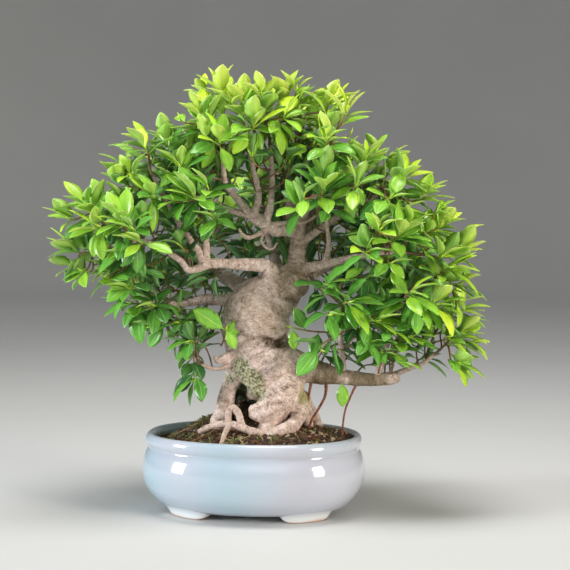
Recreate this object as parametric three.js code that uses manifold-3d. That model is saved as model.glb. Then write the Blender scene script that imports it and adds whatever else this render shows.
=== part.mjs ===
// A Chinese banyan (Ficus microcarpa) grown as a bonsai, in an oval glazed pot on four feet.
// Millimetres, +Z up. The pot's long side lies along X and its feet stand on z = 0.
// The tree is drawn in a frame of its own, x to its right, y to its back, and is then turned in the pot.
import * as THREE from "three";
import { mergeVertices } from "three/addons/utils/BufferGeometryUtils.js";
import Module from "manifold-3d";

const wasm = await Module();
wasm.setup();

// Driving dimensions
const GAP = 0.35; // running gap between pieces that touch
const POT_HALF_LENGTH = 112.5;
const POT_HALF_WIDTH = 90;
const POT_SQUARENESS = 2.15; // 2 is an ellipse, more is squarer
const POT_SECTORS = 32;
const FLOOR_TOP = 14; // the pot's floor inside
const FOOT_HEIGHT = 8;
const FOOT_GAP_FRONT = 66; // between the two front feet
const FOOT_GAP_SIDE = 48; // between the front and the back foot
const FOOT_GAP_FLARE = 6; // how much wider each side of a gap is at the table
const FOOT_GAP_BEND = 0.6; // share of the gap's height where its side bends
const OVERCUT = 0.5; // how far a cut runs past the face that it opens
const DRAIN_RADIUS = 8;
const DRAIN_OFFSET = 46;
const SCREEN_SIZE = 28;
const SCREEN_THICKNESS = 1.2;
const SCREEN_HOLE = 7;
const SCREEN_PITCH = 11;
const SOIL_RIM = 71; // soil level at the pot's wall
const SOIL_MOUND = 18; // how much higher it is at the trunk
const TREE_TURN = 8; // degrees, the tree's front against the pot's long side

// The pot's wall: [inset from the widest outline, height], down the outside and up the inside.
const POT_OUTSIDE = [
  [24, 7.5], [12.5, 15.5], [5.5, 23.5], [1, 34], [0.4, 50],
  [5.4, 66.5], [4.2, 70], [3.8, 74.5], [7, 80],
];
const POT_INSIDE = [[11, 79], [12.3, 72], [8, 46], [9.5, 31], [16, 20.5], [34, FLOOR_TOP]];
const FOOT_SECTION = [[22, 12], [25.5, 0], [36, 0], [40, 12.5]];

// Trunk, limbs and roots: control points [x, y, z, radius] in the tree's frame.
const TRUNK = [
  [24, 8, 62, 22], [24, 7, 98, 22.5], [21, 5, 116, 26], [12, 1, 134, 32.5], [8, 0, 150, 36.5],
  [2, 0, 168, 32], [0, 0, 182, 33.5], [2, 0, 196, 34.5], [8, 1, 208, 30.5], [20, 2, 217, 26],
  [29, 3, 226, 21.5], [37, 5, 236, 16.5], [42, 6, 246, 12], [42, 6, 258, 9], [43, 6, 270, 8.2],
  [44, 5, 279, 7.6], [34, 2, 283, 6.8], [22, -1, 283, 6.4], [11, -4, 287, 6.2], [-1, -6, 295, 5.2],
  [-9, -7, 300, 4.4],
];
const ROOTS = {
  left_leg: [
    [-10, -2, 148, 16], [-20, -5, 131, 11], [-27, -8, 116, 9], [-31, -11, 102, 8.2], [-35, -13, 88, 7],
    [-37, -14, 72, 6.6],
  ],
  front_lobe: [
    [34, -12, 136, 18], [28, -22, 119, 17.5], [17, -29, 109, 14.5], [6, -32, 105, 11],
    [-4, -30, 105, 6.5],
  ],
  front_heel: [[26, -12, 112, 15], [22, -18, 100, 12], [16, -22, 86, 9.5], [12, -24, 73, 8.5]],
  under_ring: [
    [46, -4, 118, 10], [46, -18, 103, 7.5], [38, -31, 92, 6.2], [26, -38, 87, 5.4], [12, -41, 84, 5],
    [2, -42, 79, 4.5],
  ],
  right_toe: [[44, 4, 122, 10], [51, 4, 107, 7.5], [57, 2, 95, 6], [59, 0, 84, 4], [60, -2, 72, 2.5]],
  back_left: [[-2, 18, 126, 13], [-18, 29, 106, 9.5], [-30, 38, 90, 6.5], [-36, 43, 74, 5]],
  back_middle: [[12, 24, 124, 14], [6, 38, 106, 10.5], [-4, 50, 92, 7.5], [-12, 58, 75, 5.5]],
  back_right: [[36, 20, 122, 13], [48, 32, 105, 9.5], [60, 40, 91, 6.5], [68, 44, 75, 4.5]],
  arch: [
    [-24, -33, 86, 2.6], [-25, -35, 105, 2.8], [-20, -36, 112, 3.2], [-12, -35, 106, 3],
    [-7, -31, 88, 3],
  ],
  runner: [
    [-54, -33, 84, 2.6], [-40, -37, 92, 3], [-26, -38, 94.5, 3.4], [-12, -38, 91, 3.6],
    [2, -38, 88, 3.6], [12, -36, 86, 4],
  ],
  runner_fork: [[-22, -37, 94, 2.8], [-27, -46, 86, 2.4], [-31, -53, 74, 2]],
  aerial_near: [
    [58, -9, 138, 1.8], [55, -14, 121, 1.2], [52, -17, 105, 1.2], [45, -20, 84, 1.3],
    [43, -21, 74, 1.3],
  ],
  aerial_far: [
    [72, -10, 136, 1.9], [71, -13, 119, 1.3], [64, -15, 105, 1.2], [57, -17, 93, 1.2],
    [52, -18, 74, 1.2],
  ],
  aerial_thin: [[103, -13, 133, 1.4], [95, -16, 116, 0.9], [90, -18, 101, 0.9], [87, -20, 72, 0.9]],
};
const LIMBS = {
  left: [
    [20, 1, 222, 14], [16, -4, 238, 10], [9, -9, 247, 8], [-3, -12, 248.5, 6.2], [-20, -15, 249, 5.4],
    [-38, -18, 250, 5], [-51, -21, 249, 5],
  ],
  left_high: [
    [-50, -21, 250, 4.4], [-56, -22, 262, 3.8], [-66, -25, 277, 3], [-78, -29, 296, 2.5],
    [-90, -33, 318, 2], [-100, -34, 336, 1.6],
  ],
  left_inner: [
    [-48, -21, 250, 4.2], [-48, -21, 269, 3.5], [-49, -20, 284, 3], [-50, -22, 306, 2.4],
    [-52, -18, 332, 1.8],
  ],
  left_low: [
    [-48, -20, 248, 4.6], [-59, -24, 244, 3.9], [-66, -26, 244, 3.5], [-72, -28, 252, 3.1],
    [-94, -35, 267, 2.5], [-116, -42, 272, 2.1], [-140, -46, 266, 1.7],
  ],
  under_left: [
    [-10, 12, 212, 10], [-32, 18, 211, 6.5], [-52, 20, 211, 5], [-78, 14, 207, 3.8], [-98, 2, 209, 2.8],
    [-110, -6, 208, 2],
  ],
  left_back: [
    [4, 16, 214, 13], [-14, 34, 224, 8], [-36, 52, 236, 5.6], [-62, 68, 250, 4.2], [-88, 78, 264, 3],
    [-110, 80, 278, 2],
  ],
  right: [
    [34, 2, 234, 14], [50, -1, 243, 7.5], [66, -4, 248, 5.4], [84, -9, 253, 4.2], [104, -16, 258, 3.3],
    [126, -23, 262, 2.6], [150, -29, 262, 1.8],
  ],
  right_spur: [[68, -5, 249, 2.8], [73, -13, 267, 2.3], [71, -19, 286, 1.9], [69, -24, 300, 1.6]],
  right_back: [
    [26, 12, 222, 15], [46, 30, 232, 8.5], [68, 48, 242, 5.8], [94, 62, 252, 4.2], [122, 70, 262, 2.8],
    [140, 70, 270, 2],
  ],
  low_right: [
    [30, -2, 150, 19], [50, -6, 145, 14.5], [66, -9, 141, 11], [80, -11, 139, 9], [102, -13, 136, 7],
    [124, -15, 135.5, 6.3], [144, -17, 139, 5.2],
  ],
  low_right_tip: [
    [136, -15, 139, 3.2], [150, -20, 146, 2.5], [166, -25, 153, 2.1], [178, -29, 163, 1.6],
  ],
  low_right_riser: [
    [122, -15, 138, 3.6], [129, -21, 162, 3], [134, -26, 184, 2.5], [142, -30, 206, 2.1],
    [152, -33, 226, 1.6],
  ],
  low_right_twig: [[88, -12, 141, 3.6], [87, -19, 160, 3], [85, -24, 180, 2.4], [87, -28, 198, 1.8]],
  crown_left: [
    [-6, -7, 299, 4], [-17, -10, 313, 3.3], [-29, -12, 327, 2.8], [-32, -14, 346, 2.3],
    [-32, -14, 366, 1.7],
  ],
  upper_left: [
    [-4, -6, 297, 3.8], [-24, -4, 302, 3], [-41, -4, 311, 2.6], [-54, -6, 326, 2.1],
    [-63, -8, 342, 1.6],
  ],
  apex_left: [
    [-2, -8, 296, 4.6], [2, -10, 309, 3.8], [3, -11, 322, 3.2], [-2, -12, 342, 2.5],
    [-7, -14, 362, 1.8],
  ],
  apex: [[9, -4, 289, 5], [14, -4, 304, 4], [16, -5, 322, 3.2], [16, -7, 344, 2.5], [14, -9, 368, 1.8]],
  apex_back: [
    [38, 5, 281, 7], [36, 14, 296, 5.8], [33, 20, 314, 4.8], [32, 23, 334, 3.6], [36, 23, 356, 2.6],
    [40, 22, 372, 1.9],
  ],
  crown_right: [
    [44, 4, 279, 5], [49, -2, 298, 3.8], [56, -6, 313, 3], [66, -9, 330, 2.4], [74, -11, 348, 1.8],
  ],
  right_high: [
    [43, 5, 268, 5], [60, -4, 281, 3.9], [79, -10, 295, 3.1], [100, -15, 308, 2.5],
    [122, -19, 318, 1.8],
  ],
  back: [
    [14, 18, 216, 15], [20, 42, 236, 8], [18, 68, 256, 5.4], [12, 90, 274, 3.6], [8, 104, 292, 2.2],
  ],
  back_high: [
    [42, 6, 262, 6.5], [50, 24, 276, 5], [54, 44, 294, 3.9], [56, 62, 312, 2.9], [56, 74, 328, 2],
  ],
};
const STUBS = {
  pruned_stub: [[-16, -14, 160, 9], [-28, -21, 156, 5], [-36, -23, 154, 3], [-39, -23, 158, 1.6]],
  crown_snag: [[14, -6, 288, 2.4], [32, -8, 290.5, 1.7], [49, -9, 291, 1.5], [61, -11, 298, 1.2]],
  hook_twig: [
    [12, -7, 284, 3], [2, -13, 278, 2], [-7, -15, 275.5, 2.1], [-13, -16, 279, 1.6],
    [-16, -17, 284, 1.1],
  ],
  hook_root: [
    [12, -8, 284, 2], [6, -13, 273, 1.3], [12, -14, 265, 1.2], [18, -14, 265, 1.1], [22, -14, 271, 0.9],
  ],
};

// Leafy sprays: [the limb each grows from, the tip of its shoot, the tip of its second shoot].
// Where no second tip is given, the second shoot fills the widest space around the first.
const SPRAYS = [
  ["apex_left", [-14, -16, 408], [-2, -40, 384]],
  ["apex", [4, -8, 412], [28, -32, 396]],
  ["apex_back", [28, 20, 416], [12, 52, 396]],
  ["apex_back", [52, 8, 410], [46, 46, 398]],
  ["crown_right", [70, -18, 409]],
  ["crown_right", [86, -4, 398], [70, -48, 372]],
  ["crown_left", [-36, -6, 421]],
  ["crown_left", [-52, -26, 394], [-34, -48, 368]],
  ["upper_left", [-62, 34, 368]],
  ["upper_left", [-88, -18, 368], [-72, -48, 344]],
  ["left_high", [-108, -20, 366]],
  ["left_high", [-128, -34, 328], [-96, -58, 316]],
  ["left_inner", [-52, 12, 362]],
  ["left_inner", [-58, -58, 316]],
  ["left_low", [-176, -40, 262]],
  ["left_low", [-164, -44, 306], [-150, -68, 284]],
  ["left_low", [-126, -76, 292]],
  ["left_low", [-140, -42, 242]],
  ["under_left", [-120, -22, 210]],
  ["under_left", [-90, -12, 190], [-62, -6, 186]],
  ["under_left", [-104, 34, 224]],
  ["left_back", [-126, 60, 302], [-94, 60, 336]],
  ["left_back", [-146, 44, 258]],
  ["right_high", [162, -22, 316]],
  ["right_high", [146, -28, 336], [130, -60, 316]],
  ["right_high", [108, -12, 348], [98, -56, 328]],
  ["right_high", [130, -8, 352]],
  ["right", [200, -30, 262]],
  ["right", [182, -30, 288]],
  ["right", [140, -64, 282], [108, -70, 264]],
  ["right_spur", [66, -50, 324]],
  ["low_right_riser", [202, -38, 234]],
  ["low_right_riser", [176, -60, 214], [150, -68, 226]],
  ["low_right_twig", [92, -64, 216]],
  ["low_right_twig", [118, -62, 198], [66, -48, 168]],
  ["low_right_tip", [202, -34, 182], [196, -46, 156]],
  ["low_right_tip", [204, -18, 206]],
  ["low_right", [150, -52, 182], [124, -46, 166]],
  ["right_back", [170, 50, 276]],
  ["right_back", [132, 60, 306]],
  ["right_back", [118, 106, 268]],
  ["right_back", [174, 40, 240], [140, 76, 226]],
  ["back", [6, 126, 318]],
  ["back", [46, 128, 284]],
  ["back", [-30, 116, 286], [4, 142, 262]],
  ["back_high", [62, 92, 358], [90, 50, 354]],
  ["back_high", [22, 94, 350]],
  ["trunk_twig", [-60, -22, 172], [-58, -30, 136]],
];
// A small twig low on the trunk's left side carries a spray of its own.
LIMBS.trunk_twig = [[-20, -16, 152, 5], [-30, -22, 147, 2.4], [-41, -24, 146, 1.9], [-52, -24, 150, 1.6]];

const TUBE_SIDES = [[24, 10], [15.5, 7], [6, 5], [0, 4]]; // [thickest radius from, sides]
const SOIL_WALL = [[37, FLOOR_TOP + GAP], [18.5, 20.9], [10, 43]]; // the soil's side, just inside the pot's
const SOIL_RINGS = [13, 36, 66]; // insets of the rings of the soil's top

// Shoots
const SHOOT_BASE_RADIUS = 1.8;
const SHOOT_TIP_RADIUS = 0.8;
const THICKEST_LIVE_END = 3; // a limb that ends thicker was sawn off and carries nothing there
const SEAT_FROM = 0.35; // shoots sit on this stretch of a limb
const SEAT_TO = 0.93;
const SEAT_STEPS = 24;
const SEAT_SPACING = 9;
const SEAT_LEAN = 0.6; // how much a shoot leans along its limb where it leaves it
const SEAT_MARGIN = 0.05; // added to the gap where a shoot carries a limb's end on
const SEATED_RADIUS = 0.8; // a shoot on a limb's side is no thicker than this share of the limb
const SEATED_WIDTH = 0.9; // share of a shoot's radius that is followed where it meets a round limb
const FLAT_SHARE = 0.93; // how far out a many-sided limb's flats lie, against its radius
const CROWN_HEART = new THREE.Vector3(10, 5, 250); // shoots end pointing away from here
const HANDLE_SHARE = 0.35; // length of a Bezier handle over its shoot's
const TIP_LIFT = 0.5; // how much shoots turn up towards their tips
const UPRIGHT_RISE = 0.8; // a shoot that rises by more than this share of its length counts as upright
const BEND_TRIALS = 13;
const BENDS_A_ROUND = 6;
const BEND_SIZES = [0.16, 0.3]; // of the shoot's length, first round and second
const BEAD_STEP = 3;
const SHOOT_BEADS = 16;
const CLEAR_FROM = 0.22;
const SHOOT_CLEARANCE = 1;
const FORK_AT = 0.42; // where the second shoot leaves the first
const SIDE_REACH = [30, 42];
const SIDE_SPREAD = THREE.MathUtils.degToRad(50);
const SIDE_SHARE = 0.6; // length of a second shoot over the first one's
const SIDE_THICKNESS = 0.85; // of the first shoot where the second leaves it
const SIDE_TRIALS = 8;
const STEM_STATIONS = [0.55]; // rings below the leaves, in shares of that stretch

// Leaves
const MAIN_LEAVES = 4; // up the side of a first shoot, with one more at its tip
const SIDE_LEAVES = 2;
const LEAFY_FROM_MAIN = 0.52; // share of the shoot's length where its leaves start
const LEAFY_FROM_SIDE = 0.5;
const LEAFY_TO = 0.93;
const LEAF_LENGTH = [28, 39];
const LEAF_SLENDERNESS = [0.21, 0.25]; // half width over length
const LEAF_DROOP = [0.1, 0.28];
const LEAF_FOLD = 0.24; // rise of the blade's halves from the midrib
const LEAF_SPREAD = [64, 42]; // angle to the shoot in degrees, first leaf to last
const LEAF_UPTURN = 1.3; // how much a leaf's upper face turns to the sky, against along its shoot
const LAST_LEAF = { spread: 14, size: 0.85 }; // the leaf that ends a shoot
const BUD_LENGTH = 2; // a shoot without a last leaf ends in a bud
const LEAF_SECTIONS = [[0.38, 0.93], [0.72, 0.8]]; // [share of length, share of half width]
const LEAF_THICKNESS = [1.4, 1.1];
const LEAF_ROOT = 2.6; // length of shoot that a leaf grows from
const LEAF_ROWS = [[0.2, 0.55], [0.36, 0.92], [0.52, 1], [0.68, 0.86], [0.84, 0.56], [1, 0.05]];
const LEAF_ROW_LENGTH = 5;
const LEAF_REACH = 26;
const LEAF_CLEARANCE = 4.3;
const OWN_LEAF_CLEARANCE = 3.2;
const WOOD_CLEARANCE = 2;
const LOWEST_LEAF = 84;
const LEAF_TRIALS = [ // [turn in degrees, change of spread, size] tried in turn until a leaf fits
  [0, 0, 1], [24, 0, 1], [-24, 0, 1], [0, -18, 1], [0, 16, 1], [36, -14, 0.9], [-36, -14, 0.9],
  [36, 16, 0.9], [-36, 16, 0.9], [0, 0, 0.75], [30, 0, 0.75], [-30, 0, 0.75],
];
const GOLDEN_ANGLE = THREE.MathUtils.degToRad(137.5);
const UP = new THREE.Vector3(0, 0, 1);
const LEAF_GREENS = [0x5d9a36, 0x78ad3c, 0x4d8a34, 0x93bd45];

// Solids

// A closed BufferGeometry as a manifold solid.
function solidOf(geometry) {
  const bare = geometry.clone();
  bare.deleteAttribute("normal");
  bare.deleteAttribute("uv");
  const merged = mergeVertices(bare, 1e-4);
  return new wasm.Manifold(
    new wasm.Mesh({
      numProp: 3,
      vertProperties: new Float32Array(merged.attributes.position.array),
      triVerts: new Uint32Array(merged.index.array),
    }),
  );
}

// A manifold solid as a BufferGeometry.
function geometryOf(solid) {
  const { vertProperties, triVerts } = solid.getMesh();
  const geometry = new THREE.BufferGeometry();
  geometry.setAttribute("position", new THREE.BufferAttribute(new Float32Array(vertProperties), 3));
  geometry.setIndex(new THREE.BufferAttribute(new Uint32Array(triVerts), 1));
  return geometry;
}

const joined = (solids) => solids.reduce((whole, solid) => whole.add(solid));

// The largest connected piece of a solid: loose scraps left by a cut are dropped.
const largestOf = (solid) =>
  solid.decompose().reduce((best, piece) => (piece.volume() > best.volume() ? piece : best));

// Rings of points, all of one length, skinned into one closed solid with a flat fan at each end.
function skin(rings) {
  const sides = rings[0].length;
  const index = [];
  for (let i = 0; i + 1 < rings.length; i++) {
    for (let j = 0; j < sides; j++) {
      const a = i * sides + j;
      const b = i * sides + ((j + 1) % sides);
      index.push(a, b, b + sides, a, b + sides, a + sides);
    }
  }
  const last = (rings.length - 1) * sides;
  for (let j = 1; j + 1 < sides; j++) {
    index.push(0, j + 1, j, last, last + j, last + j + 1);
  }
  const geometry = new THREE.BufferGeometry().setFromPoints(rings.flat());
  geometry.setIndex(index);
  return geometry;
}

// Pot

// One ring of the pot's oval plan, drawn in by inset, at height z or at the height that z(x, y) gives.
function ovalRing(inset, z) {
  return Array.from({ length: POT_SECTORS }, (_, i) => {
    const angle = (i / POT_SECTORS) * 2 * Math.PI;
    const power = 2 / POT_SQUARENESS;
    const bend = (v) => Math.sign(v) * Math.abs(v) ** power;
    const x = (POT_HALF_LENGTH - inset) * bend(Math.cos(angle));
    const y = (POT_HALF_WIDTH - inset) * bend(Math.sin(angle));
    return new THREE.Vector3(x, y, typeof z === "function" ? z(x, y) : z);
  });
}

// A prism along Y, or along X, whose section is the gap between two feet: wider at the table.
function footGap(width, alongX) {
  const half = width / 2;
  const top = FOOT_HEIGHT + OVERCUT;
  const bend = top * FOOT_GAP_BEND;
  const section = new THREE.Shape([
    new THREE.Vector2(-half - FOOT_GAP_FLARE, -2 * OVERCUT),
    new THREE.Vector2(half + FOOT_GAP_FLARE, -2 * OVERCUT),
    new THREE.Vector2(half + FOOT_GAP_FLARE / 2, bend),
    new THREE.Vector2(half, top),
    new THREE.Vector2(-half, top),
    new THREE.Vector2(-half - FOOT_GAP_FLARE / 2, bend),
  ]);
  const length = 3 * POT_HALF_LENGTH;
  const prism = new THREE.ExtrudeGeometry(section, { depth: length, bevelEnabled: false });
  prism.translate(0, 0, -length / 2);
  prism.rotateX(Math.PI / 2);
  if (alongX) prism.rotateZ(Math.PI / 2);
  return solidOf(prism);
}

function potGeometry() {
  const wall = solidOf(skin([...POT_OUTSIDE, ...POT_INSIDE].map(([inset, z]) => ovalRing(inset, z))));
  const [outerTop, outerFoot, innerFoot, innerTop] = FOOT_SECTION;
  const outer = solidOf(skin([outerFoot, outerTop].map(([inset, z]) => ovalRing(inset, z))));
  const innerRings = [[innerFoot[0], -2 * OVERCUT], innerTop];
  const inner = solidOf(skin(innerRings.map(([inset, z]) => ovalRing(inset, z))));
  const feet = outer
    .subtract(inner)
    .subtract(footGap(FOOT_GAP_FRONT, false))
    .subtract(footGap(FOOT_GAP_SIDE, true));
  const drains = [-1, 1].map((side) => {
    const drain = new THREE.CylinderGeometry(DRAIN_RADIUS, DRAIN_RADIUS, 3 * FLOOR_TOP, 16);
    drain.rotateX(Math.PI / 2);
    drain.translate(side * DRAIN_OFFSET, 0, FLOOR_TOP);
    return solidOf(drain);
  });
  return geometryOf(wall.add(feet).subtract(joined(drains)));
}

// A small plastic mesh that lies over a drain hole.
function screenGeometry(side) {
  const block = (size, depth, x, y) => {
    const box = new THREE.BoxGeometry(size, size, depth);
    box.translate(side * DRAIN_OFFSET + x, y, FLOOR_TOP + GAP + SCREEN_THICKNESS / 2);
    return solidOf(box);
  };
  const places = [-SCREEN_PITCH / 2, SCREEN_PITCH / 2];
  const holes = places.flatMap((x) => places.map((y) => block(SCREEN_HOLE, 2 * SCREEN_THICKNESS, x, y)));
  return geometryOf(block(SCREEN_SIZE, SCREEN_THICKNESS, 0, 0).subtract(joined(holes)));
}

// Wood

const vector = ([x, y, z]) => new THREE.Vector3(x, y, z);

// A closed tube through control points [x, y, z, radius], one ring at each; grow widens it all round.
function tube(points, sides, grow = 0) {
  const centres = points.map(vector);
  const steps = centres.slice(1).map((centre, i) => centre.clone().sub(centres[i]).normalize());
  let across = new THREE.Vector3(1, 0, 0).cross(steps[0]);
  if (across.length() < 0.3) across = new THREE.Vector3(0, 1, 0).cross(steps[0]);
  const rings = centres.map((centre, i) => {
    const before = steps[Math.max(i - 1, 0)];
    const after = steps[Math.min(i, steps.length - 1)];
    const tangent = before.clone().add(after).normalize();
    across = across.clone().projectOnPlane(tangent).normalize();
    const along = tangent.clone().cross(across);
    const radius = points[i][3] + grow;
    return Array.from({ length: sides }, (_, j) => {
      const angle = (j / sides) * 2 * Math.PI;
      return centre
        .clone()
        .addScaledVector(across, radius * Math.cos(angle))
        .addScaledVector(along, radius * Math.sin(angle));
    });
  });
  return solidOf(skin(rings));
}

// How many sides a tube needs: more for a thick one.
function sidesFor(points) {
  const thickest = Math.max(...points.map((point) => point[3]));
  return TUBE_SIDES.find(([radius]) => thickest >= radius)[1];
}

const ALL_WOOD = [TRUNK, ...Object.values(ROOTS), ...Object.values(LIMBS), ...Object.values(STUBS)];

const woodGeometry = () =>
  geometryOf(largestOf(joined(ALL_WOOD.map((points) => tube(points, sidesFor(points))))));

// Soil, mounded towards the trunk, with a plain hole for each root and a pocket for each drain screen.
function soilGeometry() {
  const height = (x, y) => {
    const off = Math.hypot((x - TRUNK[0][0]) / POT_HALF_LENGTH, y / POT_HALF_WIDTH);
    return SOIL_RIM + SOIL_MOUND * Math.max(0, 1 - off * off) ** 1.5;
  };
  const rings = [
    ...SOIL_WALL.map(([inset, z]) => ovalRing(inset, z)),
    ...SOIL_RINGS.map((inset) => ovalRing(inset, height)),
  ];
  const body = solidOf(skin(rings));
  const turn = [0, 0, TREE_TURN];
  const buried = [TRUNK.slice(0, 3), ...Object.values(ROOTS)];
  const holes = buried.map((points) => tube(points, sidesFor(points), GAP).rotate(turn));
  const pockets = [-1, 1].map((side) => {
    const size = SCREEN_SIZE + 2 * GAP;
    const pocket = new THREE.BoxGeometry(size, size, 4 * SCREEN_THICKNESS);
    pocket.translate(side * DRAIN_OFFSET, 0, FLOOR_TOP + 2 * GAP - SCREEN_THICKNESS);
    return solidOf(pocket);
  });
  return geometryOf(largestOf(body.subtract(joined([...holes, ...pockets]))));
}

// Shoots

// Seeded draws between 0 and 1, the same on every run (Park and Miller's generator).
function draws(seed) {
  let state = 7919 * (seed + 1);
  return () => {
    state = (state * 16807) % 2147483647;
    return state / 2147483647;
  };
}

const within = ([low, high], draw) => low + (high - low) * draw;

// A place on a limb, part of the way along its control points.
function pointOn(points, fraction) {
  const place = fraction * (points.length - 1);
  const index = Math.min(Math.floor(place), points.length - 2);
  const start = vector(points[index]);
  const end = vector(points[index + 1]);
  return {
    centre: start.clone().lerp(end, place - index),
    tangent: end.clone().sub(start).normalize(),
    radius: THREE.MathUtils.lerp(points[index][3], points[index + 1][3], place - index),
  };
}

// Round beads strung along a limb, which stand for its wood where something has to stay clear of it.
function beadsAlong(points) {
  return points.slice(1).flatMap((point, i) => {
    const start = vector(points[i]);
    const end = vector(point);
    const count = Math.ceil(start.distanceTo(end) / BEAD_STEP);
    return Array.from({ length: count + 1 }, (_, k) => ({
      centre: start.clone().lerp(end, k / count),
      radius: THREE.MathUtils.lerp(points[i][3], point[3], k / count),
    }));
  });
}

// The least clear distance between two sets of beads.
function clearance(beads, others) {
  let least = Infinity;
  for (const bead of beads) {
    for (const other of others) {
      const apart = bead.centre.distanceTo(other.centre) - bead.radius - other.radius;
      if (apart < least) least = apart;
    }
  }
  return least;
}

// A shoot is a cubic Bezier curve that gets thinner towards its tip.
class Shoot {
  constructor(start, heading, tip, bend, baseRadius, seed) {
    const chord = tip.clone().sub(start);
    this.length = chord.length();
    const outward = tip.clone().sub(CROWN_HEART).normalize().addScaledVector(UP, TIP_LIFT).normalize();
    this.nodes = [
      start,
      start.clone().addScaledVector(heading, HANDLE_SHARE * this.length).add(bend),
      tip.clone().addScaledVector(outward, -HANDLE_SHARE * this.length).add(bend),
      tip,
    ];
    this.baseRadius = baseRadius;
    this.seed = seed;
    const upright = Math.abs(chord.z) > UPRIGHT_RISE * this.length;
    const level = upright ? new THREE.Vector3(1, 0, 0) : UP;
    this.side = chord.clone().cross(level).normalize();
  }

  weigh(weights) {
    return this.nodes.reduce((sum, node, i) => sum.addScaledVector(node, weights[i]), new THREE.Vector3());
  }

  centre(f) {
    const g = 1 - f;
    return this.weigh([g * g * g, 3 * g * g * f, 3 * g * f * f, f * f * f]);
  }

  tangent(f) {
    const g = 1 - f;
    return this.weigh([-g * g, g * g - 2 * g * f, 2 * g * f - f * f, f * f]).normalize();
  }

  radius(f) {
    return THREE.MathUtils.lerp(this.baseRadius, SHOOT_TIP_RADIUS, f);
  }

  // The direction that leaves the shoot at an angle round it, square to it.
  outward(f, angle) {
    const tangent = this.tangent(f);
    const across = this.side.clone().projectOnPlane(tangent).normalize();
    const along = tangent.clone().cross(across);
    return across.multiplyScalar(Math.cos(angle)).addScaledVector(along, Math.sin(angle));
  }

  beads(from) {
    return Array.from({ length: SHOOT_BEADS + 1 }, (_, k) => {
      const f = from + ((1 - from) * k) / SHOOT_BEADS;
      return { centre: this.centre(f), radius: this.radius(f) };
    });
  }
}

// The first of several bends that keeps a shoot clear of the wood and of the shoots before it.
function clearShoot(start, heading, tip, baseRadius, seed, obstacles) {
  const chord = tip.clone().sub(start);
  const straight = new Shoot(start, heading, tip, new THREE.Vector3(), baseRadius, seed);
  let best = null;
  let bestRoom = -Infinity;
  for (let trial = 0; trial < BEND_TRIALS; trial++) {
    const size = trial === 0 ? 0 : BEND_SIZES[trial > BENDS_A_ROUND ? 1 : 0] * chord.length();
    const bend = straight.outward(0.5, (trial * 2 * Math.PI) / BENDS_A_ROUND).multiplyScalar(size);
    const shoot = new Shoot(start, heading, tip, bend, baseRadius, seed);
    const room = clearance(shoot.beads(CLEAR_FROM), obstacles);
    if (room > bestRoom) {
      best = shoot;
      bestRoom = room;
    }
    if (room >= SHOOT_CLEARANCE) break;
  }
  return best;
}

// Where a shoot leaves its limb: the first one carries the limb's end on, the others leave its side.
function seatOn(name, tip, taken) {
  const limb = LIMBS[name];
  const end = pointOn(limb, 1);
  if (taken.length === 0 && end.radius < THICKEST_LIVE_END) {
    taken.push(end.centre);
    const start = end.centre.clone().addScaledVector(end.tangent, GAP + SEAT_MARGIN);
    return { start, heading: end.tangent, radius: Math.min(SHOOT_BASE_RADIUS, end.radius), limb: null };
  }
  let nearest = null;
  let reach = Infinity;
  for (let step = 0; step <= SEAT_STEPS; step++) {
    const place = pointOn(limb, SEAT_FROM + ((SEAT_TO - SEAT_FROM) * step) / SEAT_STEPS);
    const crowded = taken.some((centre) => centre.distanceTo(place.centre) < SEAT_SPACING);
    const distance = place.centre.distanceTo(tip);
    if (!crowded && distance < reach) {
      nearest = place;
      reach = distance;
    }
  }
  taken.push(nearest.centre);
  const outward = tip.clone().sub(nearest.centre).projectOnPlane(nearest.tangent).normalize();
  const heading = outward.clone().addScaledVector(nearest.tangent, SEAT_LEAN).normalize();
  const start = nearest.centre.clone().addScaledVector(outward, nearest.radius + GAP);
  const radius = Math.min(SHOOT_BASE_RADIUS, SEATED_RADIUS * nearest.radius);
  return { start, heading, radius, limb: nearest };
}

// The tip of a second shoot, at an angle to the first, where the other tips leave the most room.
function widestTip(main, tips) {
  const fork = main.centre(FORK_AT);
  const reach = THREE.MathUtils.clamp(SIDE_SHARE * main.length, ...SIDE_REACH);
  let best = null;
  let bestRoom = -Infinity;
  for (let trial = 0; trial < SIDE_TRIALS; trial++) {
    const away = main.outward(FORK_AT, (trial * 2 * Math.PI) / SIDE_TRIALS);
    const tip = fork
      .clone()
      .addScaledVector(main.tangent(FORK_AT), reach * Math.cos(SIDE_SPREAD))
      .addScaledVector(away, reach * Math.sin(SIDE_SPREAD));
    const room = Math.min(...tips.map((other) => other.distanceTo(tip)));
    if (room > bestRoom) {
      best = tip;
      bestRoom = room;
    }
  }
  return best;
}

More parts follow.
